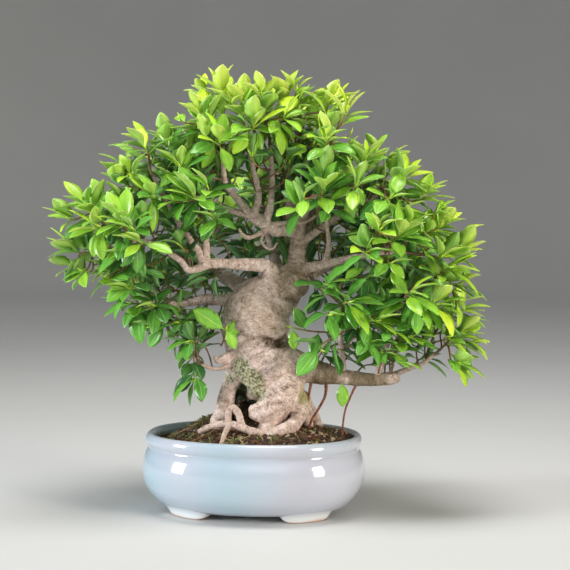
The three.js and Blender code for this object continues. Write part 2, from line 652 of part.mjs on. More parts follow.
function planShoots() {
  const obstacles = ALL_WOOD.flatMap(beadsAlong);
  const tips = SPRAYS.flatMap(([, ...ends]) => ends.map(vector));
  const taken = Object.fromEntries(Object.keys(LIMBS).map((name) => [name, []]));
  const sprays = SPRAYS.map(([name, end, secondEnd], i) => {
    const tip = vector(end);
    const seat = seatOn(name, tip, taken[name]);
    const main = clearShoot(seat.start, seat.heading, tip, seat.radius, 2 * i, obstacles);
    main.limb = seat.limb;
    obstacles.push(...main.beads(0));
    return { main, secondEnd };
  });
  sprays.forEach((spray, i) => {
    const { main, secondEnd } = spray;
    const tip = secondEnd ? vector(secondEnd) : widestTip(main, tips);
    if (!secondEnd) tips.push(tip);
    const fork = main.centre(FORK_AT);
    const outward = tip.clone().sub(fork).projectOnPlane(main.tangent(FORK_AT)).normalize();
    const heading = outward.add(main.tangent(FORK_AT)).normalize();
    const baseRadius = SIDE_THICKNESS * main.radius(FORK_AT);
    spray.side = clearShoot(fork, heading, tip, baseRadius, 2 * i + 1, obstacles);
    obstacles.push(...spray.side.beads(CLEAR_FROM));
  });
  return { sprays, obstacles };
}

// Leaves

// A leaf: its midrib leaves the shoot along direction and curves away from normal, its upper face's side.
class Leaf {
  constructor(shoot, fraction, angle, direction, face, [lengthDraw, slenderDraw, droopDraw], size) {
    Object.assign(this, { fraction, face });
    this.base = shoot.centre(fraction);
    if (face >= 0) this.base.addScaledVector(shoot.outward(fraction, angle), shoot.radius(fraction));
    this.direction = direction;
    this.length = size * within(LEAF_LENGTH, lengthDraw);
    this.halfWidth = this.length * within(LEAF_SLENDERNESS, slenderDraw);
    this.droop = within(LEAF_DROOP, droopDraw);
    const facing = shoot.tangent(fraction).projectOnPlane(direction);
    facing.addScaledVector(UP.clone().projectOnPlane(direction), LEAF_UPTURN);
    if (facing.length() < 0.2) facing.copy(shoot.side).projectOnPlane(direction);
    this.normal = facing.normalize();
    this.across = this.normal.clone().cross(direction);
  }

  // The point at a share of the length, a share of the half width to one side, and a height over the midrib.
  point(along, width, over = 0) {
    const side = width * this.halfWidth;
    const height = over - this.droop * this.length * along * along + Math.abs(side) * LEAF_FOLD;
    return this.base
      .clone()
      .addScaledVector(this.direction, along * this.length)
      .addScaledVector(this.normal, height)
      .addScaledVector(this.across, side);
  }

  // A grid of beads over the blade, used to keep leaves apart.
  beads() {
    return LEAF_ROWS.flatMap(([along, width]) =>
      [-1, -0.5, 0, 0.5, 1].map((share) => ({ centre: this.point(along, share * width), radius: 0 })),
    );
  }
}

// Whether a leaf's beads stay clear of the wood, of other shoots' leaves and of its own shoot's leaves.
function leafFits(beads, owner, obstacles, leaves) {
  const middle = beads[Math.floor(beads.length / 2)].centre;
  const near = obstacles.filter((bead) => bead.centre.distanceTo(middle) < LEAF_REACH + bead.radius);
  if (clearance(beads, near) < WOOD_CLEARANCE) return false;
  return leaves.every((other) => {
    if (other.middle.distanceTo(middle) > 2 * LEAF_REACH) return true;
    const same = other.owner === owner;
    const skip = same ? LEAF_ROW_LENGTH : 0;
    const wanted = same ? OWN_LEAF_CLEARANCE : LEAF_CLEARANCE;
    return clearance(beads.slice(skip), other.beads.slice(skip)) >= wanted;
  });
}

// The leaves of one shoot: some up its side at the golden angle, and one that ends it.
function planLeaves(shoot, count, from, obstacles, leaves) {
  const draw = draws(shoot.seed);
  const start = 2 * Math.PI * draw();
  shoot.phase = start;
  shoot.leaves = [];
  const place = (fraction, angle, face, spread, size) => {
    const picks = [draw(), draw(), draw()];
    for (const [turn, lift, scale] of LEAF_TRIALS) {
      const tangent = shoot.tangent(fraction);
      const lean = THREE.MathUtils.degToRad(spread + lift);
      const direction = tangent
        .multiplyScalar(Math.cos(lean))
        .addScaledVector(shoot.outward(fraction, angle + THREE.MathUtils.degToRad(turn)), Math.sin(lean));
      const leaf = new Leaf(shoot, fraction, angle, direction.normalize(), face, picks, size * scale);
      const beads = leaf.beads();
      if (beads.every((bead) => bead.centre.z > LOWEST_LEAF) && leafFits(beads, shoot, obstacles, leaves)) {
        leaves.push({ beads, owner: shoot, middle: beads[Math.floor(beads.length / 2)].centre });
        shoot.leaves.push(leaf);
        return;
      }
    }
  };
  for (let i = 0; i < count; i++) {
    const fraction = from + ((LEAFY_TO - from) * i) / (count - 1);
    place(fraction, start + i * GOLDEN_ANGLE, i % 3, within(LEAF_SPREAD, i / count), 1);
  }
  place(1, start + count * GOLDEN_ANGLE, -1, LAST_LEAF.spread, LAST_LEAF.size);
}

// The triangles of a blade beyond its root, which joins the corners given to the blade's first section.
function addBlade(leaf, root, add, index) {
  const [near, far] = LEAF_SECTIONS.map(([along, width], i) => {
    const half = LEAF_THICKNESS[i] / 2;
    return {
      top: add(leaf.point(along, 0, half)),
      left: add(leaf.point(along, -width)),
      under: add(leaf.point(along, 0, -half)),
      right: add(leaf.point(along, width)),
    };
  });
  const tip = add(leaf.point(1, 0));
  root(near);
  for (const [side, turned] of [["left", false], ["right", true]]) {
    const faces = [
      [near.top, near[side], far[side]], [near.top, far[side], far.top],
      [near[side], near.under, far[side]], [near.under, far.under, far[side]],
      [far.top, far[side], tip], [far[side], far.under, tip],
    ];
    faces.forEach(([a, b, c]) => index.push(...(turned ? [b, a, c] : [a, b, c])));
  }
}

// A shoot and its leaves as one three-sided stem, whose blades grow out of its faces.
function shootSolid(shoot) {
  const points = [];
  const index = [];
  const add = (point) => points.push(point) - 1;
  const last = shoot.leaves.find((leaf) => leaf.face < 0);
  const sideLeaves = shoot.leaves.filter((leaf) => leaf.face >= 0);
  const half = LEAF_ROOT / 2 / shoot.length;
  const stations = [{ f: 0 }, ...STEM_STATIONS.map((share) => ({ f: share * shoot.leafyFrom }))];
  sideLeaves.forEach((leaf) => stations.push({ f: leaf.fraction - half }, { f: leaf.fraction + half, leaf }));
  const slots = shoot.slotCount;
  const twist = (f) => {
    const share = THREE.MathUtils.clamp((f - shoot.leafyFrom) / (LEAFY_TO - shoot.leafyFrom), 0, 1);
    return shoot.phase - Math.PI / 3 + share * (slots - 1) * (GOLDEN_ANGLE - (2 * Math.PI) / 3);
  };
  const ring = (f) =>
    [0, 1, 2].map((j) =>
      shoot.centre(f).addScaledVector(shoot.outward(f, twist(f) + (j * 2 * Math.PI) / 3), shoot.radius(f)),
    );
  const seat = (corner) => {
    if (!shoot.limb) return corner;
    const { centre, tangent, radius } = shoot.limb;
    const heading = shoot.tangent(0);
    const off = corner.clone().sub(centre).projectOnPlane(tangent);
    const flat = heading.clone().projectOnPlane(tangent);
    const wanted = Math.hypot(FLAT_SHARE * radius + GAP, SEATED_WIDTH * shoot.baseRadius);
    const b = off.dot(flat) / flat.lengthSq();
    const c = (off.lengthSq() - wanted * wanted) / flat.lengthSq();
    return corner.addScaledVector(heading, -b + Math.sqrt(Math.max(0, b * b - c)));
  };
  let before = ring(0).map(seat).map(add);
  index.push(before[0], before[2], before[1]);
  stations.slice(1).forEach(({ f, leaf }) => {
    const after = ring(f).map(add);
    for (let j = 0; j < 3; j++) {
      const [a, b, c, d] = [before[j], before[(j + 1) % 3], after[(j + 1) % 3], after[j]];
      if (leaf && leaf.face === j) {
        addBlade(leaf, ({ top, left, under, right }) => {
          index.push(c, d, top, d, left, top, d, a, left, a, under, left);
          index.push(a, b, under, b, right, under, b, c, right, c, top, right);
        }, add, index);
      } else {
        index.push(a, b, c, a, c, d);
      }
    }
    before = after;
  });
  if (last) {
    const tip = shoot.centre(1);
    const radius = shoot.radius(1);
    const corner = (up, across) =>
      tip.clone().addScaledVector(last.normal, up * radius).addScaledVector(last.across, across * radius);
    const ends = [corner(1, 0), corner(-0.5, -0.87), corner(-0.5, 0.87)];
    const away = ends.map((end) => end.distanceTo(points[before[0]]));
    const shift = away.indexOf(Math.min(...away));
    const after = ends.map(add);
    for (let j = 0; j < 3; j++) {
      const [a, b] = [before[j], before[(j + 1) % 3]];
      const [d, c] = [after[(j + shift) % 3], after[(j + 1 + shift) % 3]];
      index.push(a, b, c, a, c, d);
    }
    const [crest, leftEnd, rightEnd] = after;
    addBlade(last, ({ top, left, under, right }) => {
      index.push(crest, leftEnd, left, leftEnd, rightEnd, under, rightEnd, crest, right);
      index.push(crest, left, top, crest, top, right, leftEnd, under, left, rightEnd, right, under);
    }, add, index);
  } else {
    const tip = add(shoot.centre(1).addScaledVector(shoot.tangent(1), BUD_LENGTH));
    const after = ring(1).map(add);
    for (let j = 0; j < 3; j++) {
      const [a, b, c, d] = [before[j], before[(j + 1) % 3], after[(j + 1) % 3], after[j]];
      index.push(a, b, c, a, c, d, d, c, tip);
    }
  }
  const geometry = new THREE.BufferGeometry().setFromPoints(points);
  geometry.setIndex(index);
  return solidOf(geometry);
}

// Assembly

function mesh(name, geometry, color, roughness) {
  const piece = new THREE.Mesh(geometry, new THREE.MeshStandardMaterial({ color, roughness, metalness: 0 }));
  piece.name = name;
  return piece;
}

const bonsai = new THREE.Group();
bonsai.add(mesh("pot", potGeometry(), 0xdce8ee, 0.15));
bonsai.add(mesh("drain_screen_left", screenGeometry(-1), 0x2b2b2b, 0.6));
bonsai.add(mesh("drain_screen_right", screenGeometry(1), 0x2b2b2b, 0.6));
bonsai.add(mesh("soil", soilGeometry(), 0x3a2a20, 0.95));

const tree = new THREE.Group();
tree.rotation.z = THREE.MathUtils.degToRad(TREE_TURN);
bonsai.add(tree);
tree.add(mesh("wood", woodGeometry(), 0xb49c84, 0.85));

const { sprays, obstacles } = planShoots();
const leaves = [];
for (const key of ["main", "side"]) {
  const [count, from] = key === "main" ? [MAIN_LEAVES, LEAFY_FROM_MAIN] : [SIDE_LEAVES, LEAFY_FROM_SIDE];
  for (const spray of sprays) {
    const shoot = spray[key];
    shoot.slotCount = count;
    shoot.leafyFrom = from;
    planLeaves(shoot, count, from, obstacles, leaves);
  }
}
sprays.forEach(({ main, side }, i) => {
  const solid = largestOf(joined([shootSolid(main), shootSolid(side)]));
  const name = `spray_${String(i + 1).padStart(2, "0")}`;
  tree.add(mesh(name, geometryOf(solid), LEAF_GREENS[i % LEAF_GREENS.length], 0.5));
});

const box = new THREE.Box3().setFromObject(bonsai, true);
const middle = box.getCenter(new THREE.Vector3());
bonsai.position.set(-middle.x, -middle.y, 0);

export default bonsai;
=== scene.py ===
"""A Chinese banyan (Ficus microcarpa) bonsai in an oval glazed pot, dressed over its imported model.

Lengths are millimetres until a mesh is made, where they become metres. The tree is worked out in a frame
of its own, x to its right and y to its back, which is turned about the upright line through the pot's middle.
"""
import logging
import math
from dataclasses import dataclass, field
from enum import Enum
from typing import ClassVar

import bpy
import mathutils
import numpy as np
from bpy.types import Material, Mesh, NodeSocket, NodeTree, Object
from numpy.linalg import norm
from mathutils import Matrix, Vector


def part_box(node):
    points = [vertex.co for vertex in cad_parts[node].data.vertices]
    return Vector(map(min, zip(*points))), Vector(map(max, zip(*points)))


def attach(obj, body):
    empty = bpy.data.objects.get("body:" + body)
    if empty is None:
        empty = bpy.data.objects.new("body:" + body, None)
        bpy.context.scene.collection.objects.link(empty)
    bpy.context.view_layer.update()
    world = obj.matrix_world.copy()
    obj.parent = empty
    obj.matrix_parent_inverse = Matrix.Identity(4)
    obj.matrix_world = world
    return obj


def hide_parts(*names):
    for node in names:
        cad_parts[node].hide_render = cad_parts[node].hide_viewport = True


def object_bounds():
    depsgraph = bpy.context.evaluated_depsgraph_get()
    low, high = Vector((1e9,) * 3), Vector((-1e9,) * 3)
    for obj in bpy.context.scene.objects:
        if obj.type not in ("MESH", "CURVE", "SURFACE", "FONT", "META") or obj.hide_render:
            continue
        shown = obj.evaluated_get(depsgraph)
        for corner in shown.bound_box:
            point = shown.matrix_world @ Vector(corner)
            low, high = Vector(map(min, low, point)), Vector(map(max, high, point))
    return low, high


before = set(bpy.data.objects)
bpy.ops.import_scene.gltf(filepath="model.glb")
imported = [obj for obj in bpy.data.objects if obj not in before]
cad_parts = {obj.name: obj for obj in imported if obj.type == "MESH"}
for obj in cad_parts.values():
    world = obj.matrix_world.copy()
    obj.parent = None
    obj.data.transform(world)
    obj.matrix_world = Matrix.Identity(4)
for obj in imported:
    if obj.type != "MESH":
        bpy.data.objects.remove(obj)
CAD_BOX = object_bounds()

LOG = logging.getLogger("bonsai")
MM = 0.001
ROOT_BODY = "root"
TREE_TURN = 8.0
GAP = 0.35
LIMB_APART = 400.0
RIGHT, BACK, UP = np.eye(3)

Array = np.ndarray
Pair = tuple[float, float]
Triple = tuple[float, float, float]
Points = list[tuple[float, ...]]

# Trunk, limbs and roots: control points (x, y, z, radius) in the tree's frame.
TRUNK: Points = [
    (24, 8, 62, 22), (24, 7, 98, 22.5), (21, 5, 116, 26), (12, 1, 134, 32.5), (8, 0, 150, 36.5),
    (2, 0, 168, 32), (0, 0, 182, 33.5), (2, 0, 196, 34.5), (8, 1, 208, 30.5), (20, 2, 217, 26),
    (29, 3, 226, 21.5), (37, 5, 236, 16.5), (42, 6, 246, 12), (42, 6, 258, 9), (43, 6, 270, 8.2),
    (44, 5, 279, 7.6), (34, 2, 283, 6.8), (22, -1, 283, 6.4), (11, -4, 287, 6.2), (-1, -6, 295, 5.2),
    (-9, -7, 300, 4.4),
]
ROOTS: dict[str, Points] = {
    "left_leg": [(-10, -2, 148, 16), (-20, -5, 131, 11), (-27, -8, 116, 9), (-31, -11, 102, 8.2),
                 (-35, -13, 88, 7), (-37, -14, 72, 6.6)],
    "front_lobe": [(34, -12, 136, 18), (28, -22, 119, 17.5), (17, -29, 109, 14.5), (6, -32, 105, 11),
                   (-4, -30, 105, 6.5)],
    "front_heel": [(26, -12, 112, 15), (22, -18, 100, 12), (16, -22, 86, 9.5), (12, -24, 73, 8.5)],
    "under_ring": [(46, -4, 118, 10), (46, -18, 103, 7.5), (38, -31, 92, 6.2), (26, -38, 87, 5.4),
                   (12, -41, 84, 5), (2, -42, 79, 4.5)],
    "right_toe": [(44, 4, 122, 10), (51, 4, 107, 7.5), (57, 2, 95, 6), (59, 0, 84, 4), (60, -2, 72, 2.5)],
    "back_left": [(-2, 18, 126, 13), (-18, 29, 106, 9.5), (-30, 38, 90, 6.5), (-36, 43, 74, 5)],
    "back_middle": [(12, 24, 124, 14), (6, 38, 106, 10.5), (-4, 50, 92, 7.5), (-12, 58, 75, 5.5)],
    "back_right": [(36, 20, 122, 13), (48, 32, 105, 9.5), (60, 40, 91, 6.5), (68, 44, 75, 4.5)],
    "arch": [(-24, -33, 86, 2.6), (-25, -35, 105, 2.8), (-20, -36, 112, 3.2), (-12, -35, 106, 3),
             (-7, -31, 88, 3)],
    "runner": [(-54, -33, 84, 2.6), (-40, -37, 92, 3), (-26, -38, 94.5, 3.4), (-12, -38, 91, 3.6),
               (2, -38, 88, 3.6), (12, -36, 86, 4)],
    "runner_fork": [(-22, -37, 94, 2.8), (-27, -46, 86, 2.4), (-31, -53, 74, 2)],
    "aerial_near": [(58, -9, 138, 1.8), (55, -14, 121, 1.2), (52, -17, 105, 1.2), (45, -20, 84, 1.3),
                    (43, -21, 74, 1.3)],
    "aerial_far": [(72, -10, 136, 1.9), (71, -13, 119, 1.3), (64, -15, 105, 1.2), (57, -17, 93, 1.2),
                   (52, -18, 74, 1.2)],
    "aerial_thin": [(103, -13, 133, 1.4), (95, -16, 116, 0.9), (90, -18, 101, 0.9), (87, -20, 72, 0.9)],
}
LIMBS: dict[str, Points] = {
    "left": [(20, 1, 222, 14), (16, -4, 238, 10), (9, -9, 247, 8), (-3, -12, 248.5, 6.2),
             (-20, -15, 249, 5.4), (-38, -18, 250, 5), (-51, -21, 249, 5)],
    "left_high": [(-50, -21, 250, 4.4), (-56, -22, 262, 3.8), (-66, -25, 277, 3), (-78, -29, 296, 2.5),
                  (-90, -33, 318, 2), (-100, -34, 336, 1.6)],
    "left_inner": [(-48, -21, 250, 4.2), (-48, -21, 269, 3.5), (-49, -20, 284, 3), (-50, -22, 306, 2.4),
                   (-52, -18, 332, 1.8)],
    "left_low": [(-48, -20, 248, 4.6), (-59, -24, 244, 3.9), (-66, -26, 244, 3.5), (-72, -28, 252, 3.1),
                 (-94, -35, 267, 2.5), (-116, -42, 272, 2.1), (-140, -46, 266, 1.7)],
    "under_left": [(-10, 12, 212, 10), (-32, 18, 211, 6.5), (-52, 20, 211, 5), (-78, 14, 207, 3.8),
                   (-98, 2, 209, 2.8), (-110, -6, 208, 2)],
    "left_back": [(4, 16, 214, 13), (-14, 34, 224, 8), (-36, 52, 236, 5.6), (-62, 68, 250, 4.2),
                  (-88, 78, 264, 3), (-110, 80, 278, 2)],
    "right": [(34, 2, 234, 14), (50, -1, 243, 7.5), (66, -4, 248, 5.4), (84, -9, 253, 4.2),
              (104, -16, 258, 3.3), (126, -23, 262, 2.6), (150, -29, 262, 1.8)],
    "right_spur": [(68, -5, 249, 2.8), (73, -13, 267, 2.3), (71, -19, 286, 1.9), (69, -24, 300, 1.6)],
    "right_back": [(26, 12, 222, 15), (46, 30, 232, 8.5), (68, 48, 242, 5.8), (94, 62, 252, 4.2),
                   (122, 70, 262, 2.8), (140, 70, 270, 2)],
    "low_right": [(30, -2, 150, 19), (50, -6, 145, 14.5), (66, -9, 141, 11), (80, -11, 139, 9),
                  (102, -13, 136, 7), (124, -15, 135.5, 6.3), (144, -17, 139, 5.2)],
    "low_right_tip": [(136, -15, 139, 3.2), (150, -20, 146, 2.5), (166, -25, 153, 2.1), (178, -29, 163, 1.6)],
    "low_right_riser": [(122, -15, 138, 3.6), (129, -21, 162, 3), (134, -26, 184, 2.5), (142, -30, 206, 2.1),
                        (152, -33, 226, 1.6)],
    "low_right_twig": [(88, -12, 141, 3.6), (87, -19, 160, 3), (85, -24, 180, 2.4), (87, -28, 198, 1.8)],
    "crown_left": [(-6, -7, 299, 4), (-17, -10, 313, 3.3), (-29, -12, 327, 2.8), (-32, -14, 346, 2.3),
                   (-32, -14, 366, 1.7)],
    "upper_left": [(-4, -6, 297, 3.8), (-24, -4, 302, 3), (-41, -4, 311, 2.6), (-54, -6, 326, 2.1),
                   (-63, -8, 342, 1.6)],
    "apex_left": [(-2, -8, 296, 4.6), (2, -10, 309, 3.8), (3, -11, 322, 3.2), (-2, -12, 342, 2.5),
                  (-7, -14, 362, 1.8)],
    "apex": [(9, -4, 289, 5), (14, -4, 304, 4), (16, -5, 322, 3.2), (16, -7, 344, 2.5), (14, -9, 368, 1.8)],
    "apex_back": [(38, 5, 281, 7), (36, 14, 296, 5.8), (33, 20, 314, 4.8), (32, 23, 334, 3.6),
                  (36, 23, 356, 2.6), (40, 22, 372, 1.9)],
    "crown_right": [(44, 4, 279, 5), (49, -2, 298, 3.8), (56, -6, 313, 3), (66, -9, 330, 2.4),
                    (74, -11, 348, 1.8)],
    "right_high": [(43, 5, 268, 5), (60, -4, 281, 3.9), (79, -10, 295, 3.1), (100, -15, 308, 2.5),
                   (122, -19, 318, 1.8)],
    "back": [(14, 18, 216, 15), (20, 42, 236, 8), (18, 68, 256, 5.4), (12, 90, 274, 3.6), (8, 104, 292, 2.2)],
    "back_high": [(42, 6, 262, 6.5), (50, 24, 276, 5), (54, 44, 294, 3.9), (56, 62, 312, 2.9),
                  (56, 74, 328, 2)],
    "trunk_twig": [(-20, -16, 152, 5), (-30, -22, 147, 2.4), (-41, -24, 146, 1.9), (-52, -24, 150, 1.6)],
}
STUBS: dict[str, Points] = {
    "pruned_stub": [(-16, -14, 160, 9), (-28, -21, 156, 5), (-36, -23, 154, 3), (-39, -23, 158, 1.6)],
    "crown_snag": [(14, -6, 288, 2.4), (32, -8, 290.5, 1.7), (49, -9, 291, 1.5), (61, -11, 298, 1.2)],
    "hook_twig": [(12, -7, 284, 3), (2, -13, 278, 2), (-7, -15, 275.5, 2.1), (-13, -16, 279, 1.6),
                  (-16, -17, 284, 1.1)],
    "hook_root": [(12, -8, 284, 2), (6, -13, 273, 1.3), (12, -14, 265, 1.2), (18, -14, 265, 1.1),
                  (22, -14, 271, 0.9)],
}

# Leafy sprays, by the limb that each grows from: the tip of its shoot, and of its second shoot or None.
SPRAY_TIPS: dict[str, list[tuple[Triple, Triple | None]]] = {
    "apex_left": [((-14, -16, 408), (-2, -40, 384))],
    "apex": [((4, -8, 412), (28, -32, 396))],
    "apex_back": [((28, 20, 416), (12, 52, 396)), ((52, 8, 410), (46, 46, 398))],
    "crown_right": [((70, -18, 409), None), ((86, -4, 398), (70, -48, 372))],
    "crown_left": [((-36, -6, 421), None), ((-52, -26, 394), (-34, -48, 368))],
    "upper_left": [((-62, 34, 368), None), ((-88, -18, 368), (-72, -48, 344))],
    "left_high": [((-108, -20, 366), None), ((-128, -34, 328), (-96, -58, 316))],
    "left_inner": [((-52, 12, 362), None), ((-58, -58, 316), None)],
    "left_low": [
        ((-176, -40, 262), None), ((-164, -44, 306), (-150, -68, 284)), ((-126, -76, 292), None),
        ((-140, -42, 242), None),
    ],
    "under_left": [((-120, -22, 210), None), ((-90, -12, 190), (-62, -6, 186)), ((-104, 34, 224), None)],
    "left_back": [((-126, 60, 302), (-94, 60, 336)), ((-146, 44, 258), None)],
    "right_high": [
        ((162, -22, 316), None), ((146, -28, 336), (130, -60, 316)), ((108, -12, 348), (98, -56, 328)),
        ((130, -8, 352), None),
    ],
    "right": [((200, -30, 262), None), ((182, -30, 288), None), ((140, -64, 282), (108, -70, 264))],
    "right_spur": [((66, -50, 324), None)],
    "low_right_riser": [((202, -38, 234), None), ((176, -60, 214), (150, -68, 226))],
    "low_right_twig": [((92, -64, 216), None), ((118, -62, 198), (66, -48, 168))],
    "low_right_tip": [((202, -34, 182), (196, -46, 156)), ((204, -18, 206), None)],
    "low_right": [((150, -52, 182), (124, -46, 166))],
    "right_back": [
        ((170, 50, 276), None), ((132, 60, 306), None), ((118, 106, 268), None),
        ((174, 40, 240), (140, 76, 226)),
    ],
    "back": [((6, 126, 318), None), ((46, 128, 284), None), ((-30, 116, 286), (4, 142, 262))],
    "back_high": [((62, 92, 358), (90, 50, 354)), ((22, 94, 350), None)],
    "trunk_twig": [((-60, -22, 172), (-58, -30, 136))],
}
SPRAYS = [(limb, *tips) for limb, sprays in SPRAY_TIPS.items() for tips in sprays]

# Shoots and leaves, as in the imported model.
SHOOT_BASE_RADIUS = 1.8
SHOOT_TIP_RADIUS = 0.8
THICKEST_LIVE_END = 3.0
SEAT_FROM = 0.35
SEAT_TO = 0.93
SEAT_STEPS = 24
SEAT_SPACING = 9.0
CROWN_HEART = np.array([10.0, 5.0, 250.0])
BEND_TRIALS = 13
BEAD_STEP = 3.0
SHOOT_BEADS = 16
CLEAR_FROM = 0.22
SHOOT_CLEARANCE = 1.0
FORK_AT = 0.42
SIDE_REACH = (30.0, 42.0)
SIDE_SPREAD = math.radians(50)
MAIN_LEAVES = 4
SIDE_LEAVES = 2
LEAFY_FROM_MAIN = 0.52
LEAFY_FROM_SIDE = 0.5
LEAFY_TO = 0.93
LEAF_LENGTH = (28.0, 39.0)
LEAF_SLENDERNESS = (0.21, 0.25)
LEAF_DROOP = (0.1, 0.28)
LEAF_FOLD = 0.24
LEAF_SPREAD = (64.0, 42.0)
# The leaf that ends a shoot: where along it, angle to it in degrees, size.
END_LEAF = (1.0, 14.0, 0.85)
LEAF_ROWS = ((0.2, 0.55), (0.36, 0.92), (0.52, 1.0), (0.68, 0.86), (0.84, 0.56), (1.0, 0.05))
LEAF_ROW_LENGTH = 5
LEAF_REACH = 26.0
LOWEST_LEAF = 84.0
GOLDEN_ANGLE = math.radians(137.5)
# Turn in degrees, change of spread and size, tried in turn until a leaf fits.
LEAF_TRIALS = (
    (0, 0, 1), (24, 0, 1), (-24, 0, 1), (0, -18, 1), (0, 16, 1), (36, -14, 0.9), (-36, -14, 0.9),
    (36, 16, 0.9), (-36, 16, 0.9), (0, 0, 0.75), (30, 0, 0.75), (-30, 0, 0.75),
)


def unit(vectors: Array) -> Array:
    """Each vector divided by its own length."""
    return vectors / norm(vectors, axis=-1, keepdims=True)


def off_axis(vectors: Array, axis: Array) -> Array:
    """Each vector less its part along a unit axis."""
    return vectors - np.sum(vectors * axis, axis=-1, keepdims=True) * axis


def between(limits: Pair, share: float) -> float:
    """The number that lies a share of the way from the first limit to the second."""
    return limits[0] + (limits[1] - limits[0]) * share


def length_before(points: Array) -> Array:
    """How much of a line lies before each of its points."""
    return np.r_[0.0, np.cumsum(norm(np.diff(points, axis=0), axis=1))]


def in_millimetres(box: tuple) -> tuple[Array, Array]:
    """The low and the high corner of a box that is given in metres."""
    low, high = box
    return np.array(low) / MM, np.array(high) / MM


def smoothstep(low: float, high: float, values: Array) -> Array:
    """0 below low, 1 above high, and 3t^2 - 2t^3 between them."""
    share = np.clip((values - low) / (high - low), 0.0, 1.0)
    return share * share * (3.0 - 2.0 * share)


class Draws:
    """Seeded draws between 0 and 1 by Park and Miller's generator: each state is the last times 16807."""

    def __init__(self, seed: int) -> None:
        """Start a row of draws.

        Args:
            seed: which row of draws, from 0.
        """
        self.state = 7919 * (seed + 1)

    def __call__(self) -> float:
        """The next draw."""
        self.state = self.state * 16807 % 2147483647
        return self.state / 2147483647


def lattice_values(cells: Array, seed: int) -> Array:
    """A fixed number from 0 to 1 for each whole-number cell, from products and shifts of its coordinates.

    Args:
        cells: whole-number coordinates, three to a row.
        seed: which noise.
    Returns:
        One number for each row.
    """
    mixed = cells[..., 0] * 73856093 ^ cells[..., 1] * 19349663 ^ cells[..., 2] * 83492791 ^ seed * 2654435761
    mixed = mixed & 0xFFFFFFFF
    mixed = ((mixed ^ (mixed >> 13)) * 1274126177) & 0xFFFFFFFF
    return ((mixed ^ (mixed >> 16)) & 0xFFFF) / 65535.0


def noise(points: Array, size: float | Array, seed: int, octaves: int = 3) -> Array:
    """Smooth noise from -1 to 1: lattice numbers blended between the eight corners of each cell, in octaves.

    Args:
        points: places, one row each.
        size: width of the largest cells, in the units of the points, for all axes or for each.
        seed: which noise.
        octaves: how many layers, each half the size and half the height of the last.
    Returns:
        One value for each point.
    """
    total = np.zeros(len(points))
    height = 1.0
    reach = 0.0
    for octave in range(octaves):
        scaled = points / size * 2.0**octave + 31.7 * octave
        cell = np.floor(scaled).astype(np.int64)
        share = scaled - cell
        share = share * share * (3.0 - 2.0 * share)
        value = np.zeros(len(points))
        for corner in range(8):
            step = np.array([corner & 1, corner >> 1 & 1, corner >> 2 & 1])
            weight = np.prod(np.where(step == 1, share, 1.0 - share), axis=1)
            value += weight * lattice_values(cell + step, seed + octave)
        total += height * (2.0 * value - 1.0)
        reach += height
        height *= 0.5
    return total / reach


def smooth_path(points: Points, step: float) -> Array:
    """A Catmull-Rom curve through control points, with its ends carried on straight.

    Each stretch is a cubic that leaves a point along half the line between that point's neighbours.

    Args:
        points: control points with any number of values each.
        step: the longest distance between two points of the result.
    Returns:
        The values along the curve, one row each.
    """
    knots = np.array(points, dtype=float)
    knots = np.vstack([2 * knots[0] - knots[1], knots, 2 * knots[-1] - knots[-2]])
    rows = []
    for before, start, end, after in zip(knots, knots[1:], knots[2:], knots[3:]):
        count = max(1, math.ceil(norm((end - start)[:3]) / step))
        t = np.linspace(0.0, 1.0, count, endpoint=False)[:, None]
        rows.append(
            start
            + 0.5 * t * (end - before)
            + t**2 * (before - 2.5 * start + 2 * end - 0.5 * after)
            + t**3 * (1.5 * (start - end) + 0.5 * (after - before))
        )
    return np.vstack([*rows, knots[-2:-1]])


def carried_frames(centres: Array) -> tuple[Array, Array, Array]:
    """Tangents along a path, and two directions square to them that turn as little as they can.

    Args:
        centres: points of the path, one row each.
    Returns:
        The tangent, across and along directions of each point.
    """
    tangents = unit(np.gradient(centres, axis=0))
    across = np.cross(RIGHT, tangents[0])
    if norm(across) < 0.3:
        across = np.cross(BACK, tangents[0])
    acrosses = []
    for tangent in tangents:
        across = unit(off_axis(across, tangent))
        acrosses.append(across)
    acrosses = np.array(acrosses)
    return tangents, acrosses, np.cross(tangents, acrosses)


def tube_faces(rings: int, sides: int, first: int = 0) -> list[Array]:
    """Faces of a closed tube of vertex rings: quads along it and one flat cap at each end.

    Args:
        rings: how many rings.
        sides: vertices in each ring.
        first: index of the first vertex.
    Returns:
        An array of quads and two arrays of one cap each.
    """
    ring, side = np.meshgrid(np.arange(rings - 1), np.arange(sides), indexing="ij")
    a = ring * sides + side
    b = ring * sides + (side + 1) % sides
    quads = np.stack([a, b, b + sides, a + sides], axis=-1).reshape(-1, 4) + first
    base = np.arange(sides)[::-1][None, :] + first
    end = np.arange(sides)[None, :] + (rings - 1) * sides + first
    return [quads, base, end]


def repeated(faces: Array, copies: int, corners: int) -> Array:
    """The same faces on each of many copies of a shape, whose vertices follow one another.

    Args:
        faces: the faces of one copy, which count its vertices from 0.
        copies: how many copies there are.
        corners: how many vertices each has.
    Returns:
        The faces of all of them.
    """
    starts = np.arange(copies)[:, None, None] * corners
    return (faces[None] + starts).reshape(-1, faces.shape[1])


def evaluated_mesh(thing: Object) -> Mesh:
    """A new mesh of an object with its modifiers worked in."""
    graph = bpy.context.evaluated_depsgraph_get()
    return bpy.data.meshes.new_from_object(thing.evaluated_get(graph))


def linked(name: str, data: bpy.types.ID) -> Object:
    """A new object of a mesh, lamp or camera, linked to the scene.

    Args:
        name: the object's name.
        data: its mesh, lamp or camera.
    Returns:
        The new object.
    """
    thing = bpy.data.objects.new(name, data)
    bpy.context.scene.collection.objects.link(thing)
    return thing


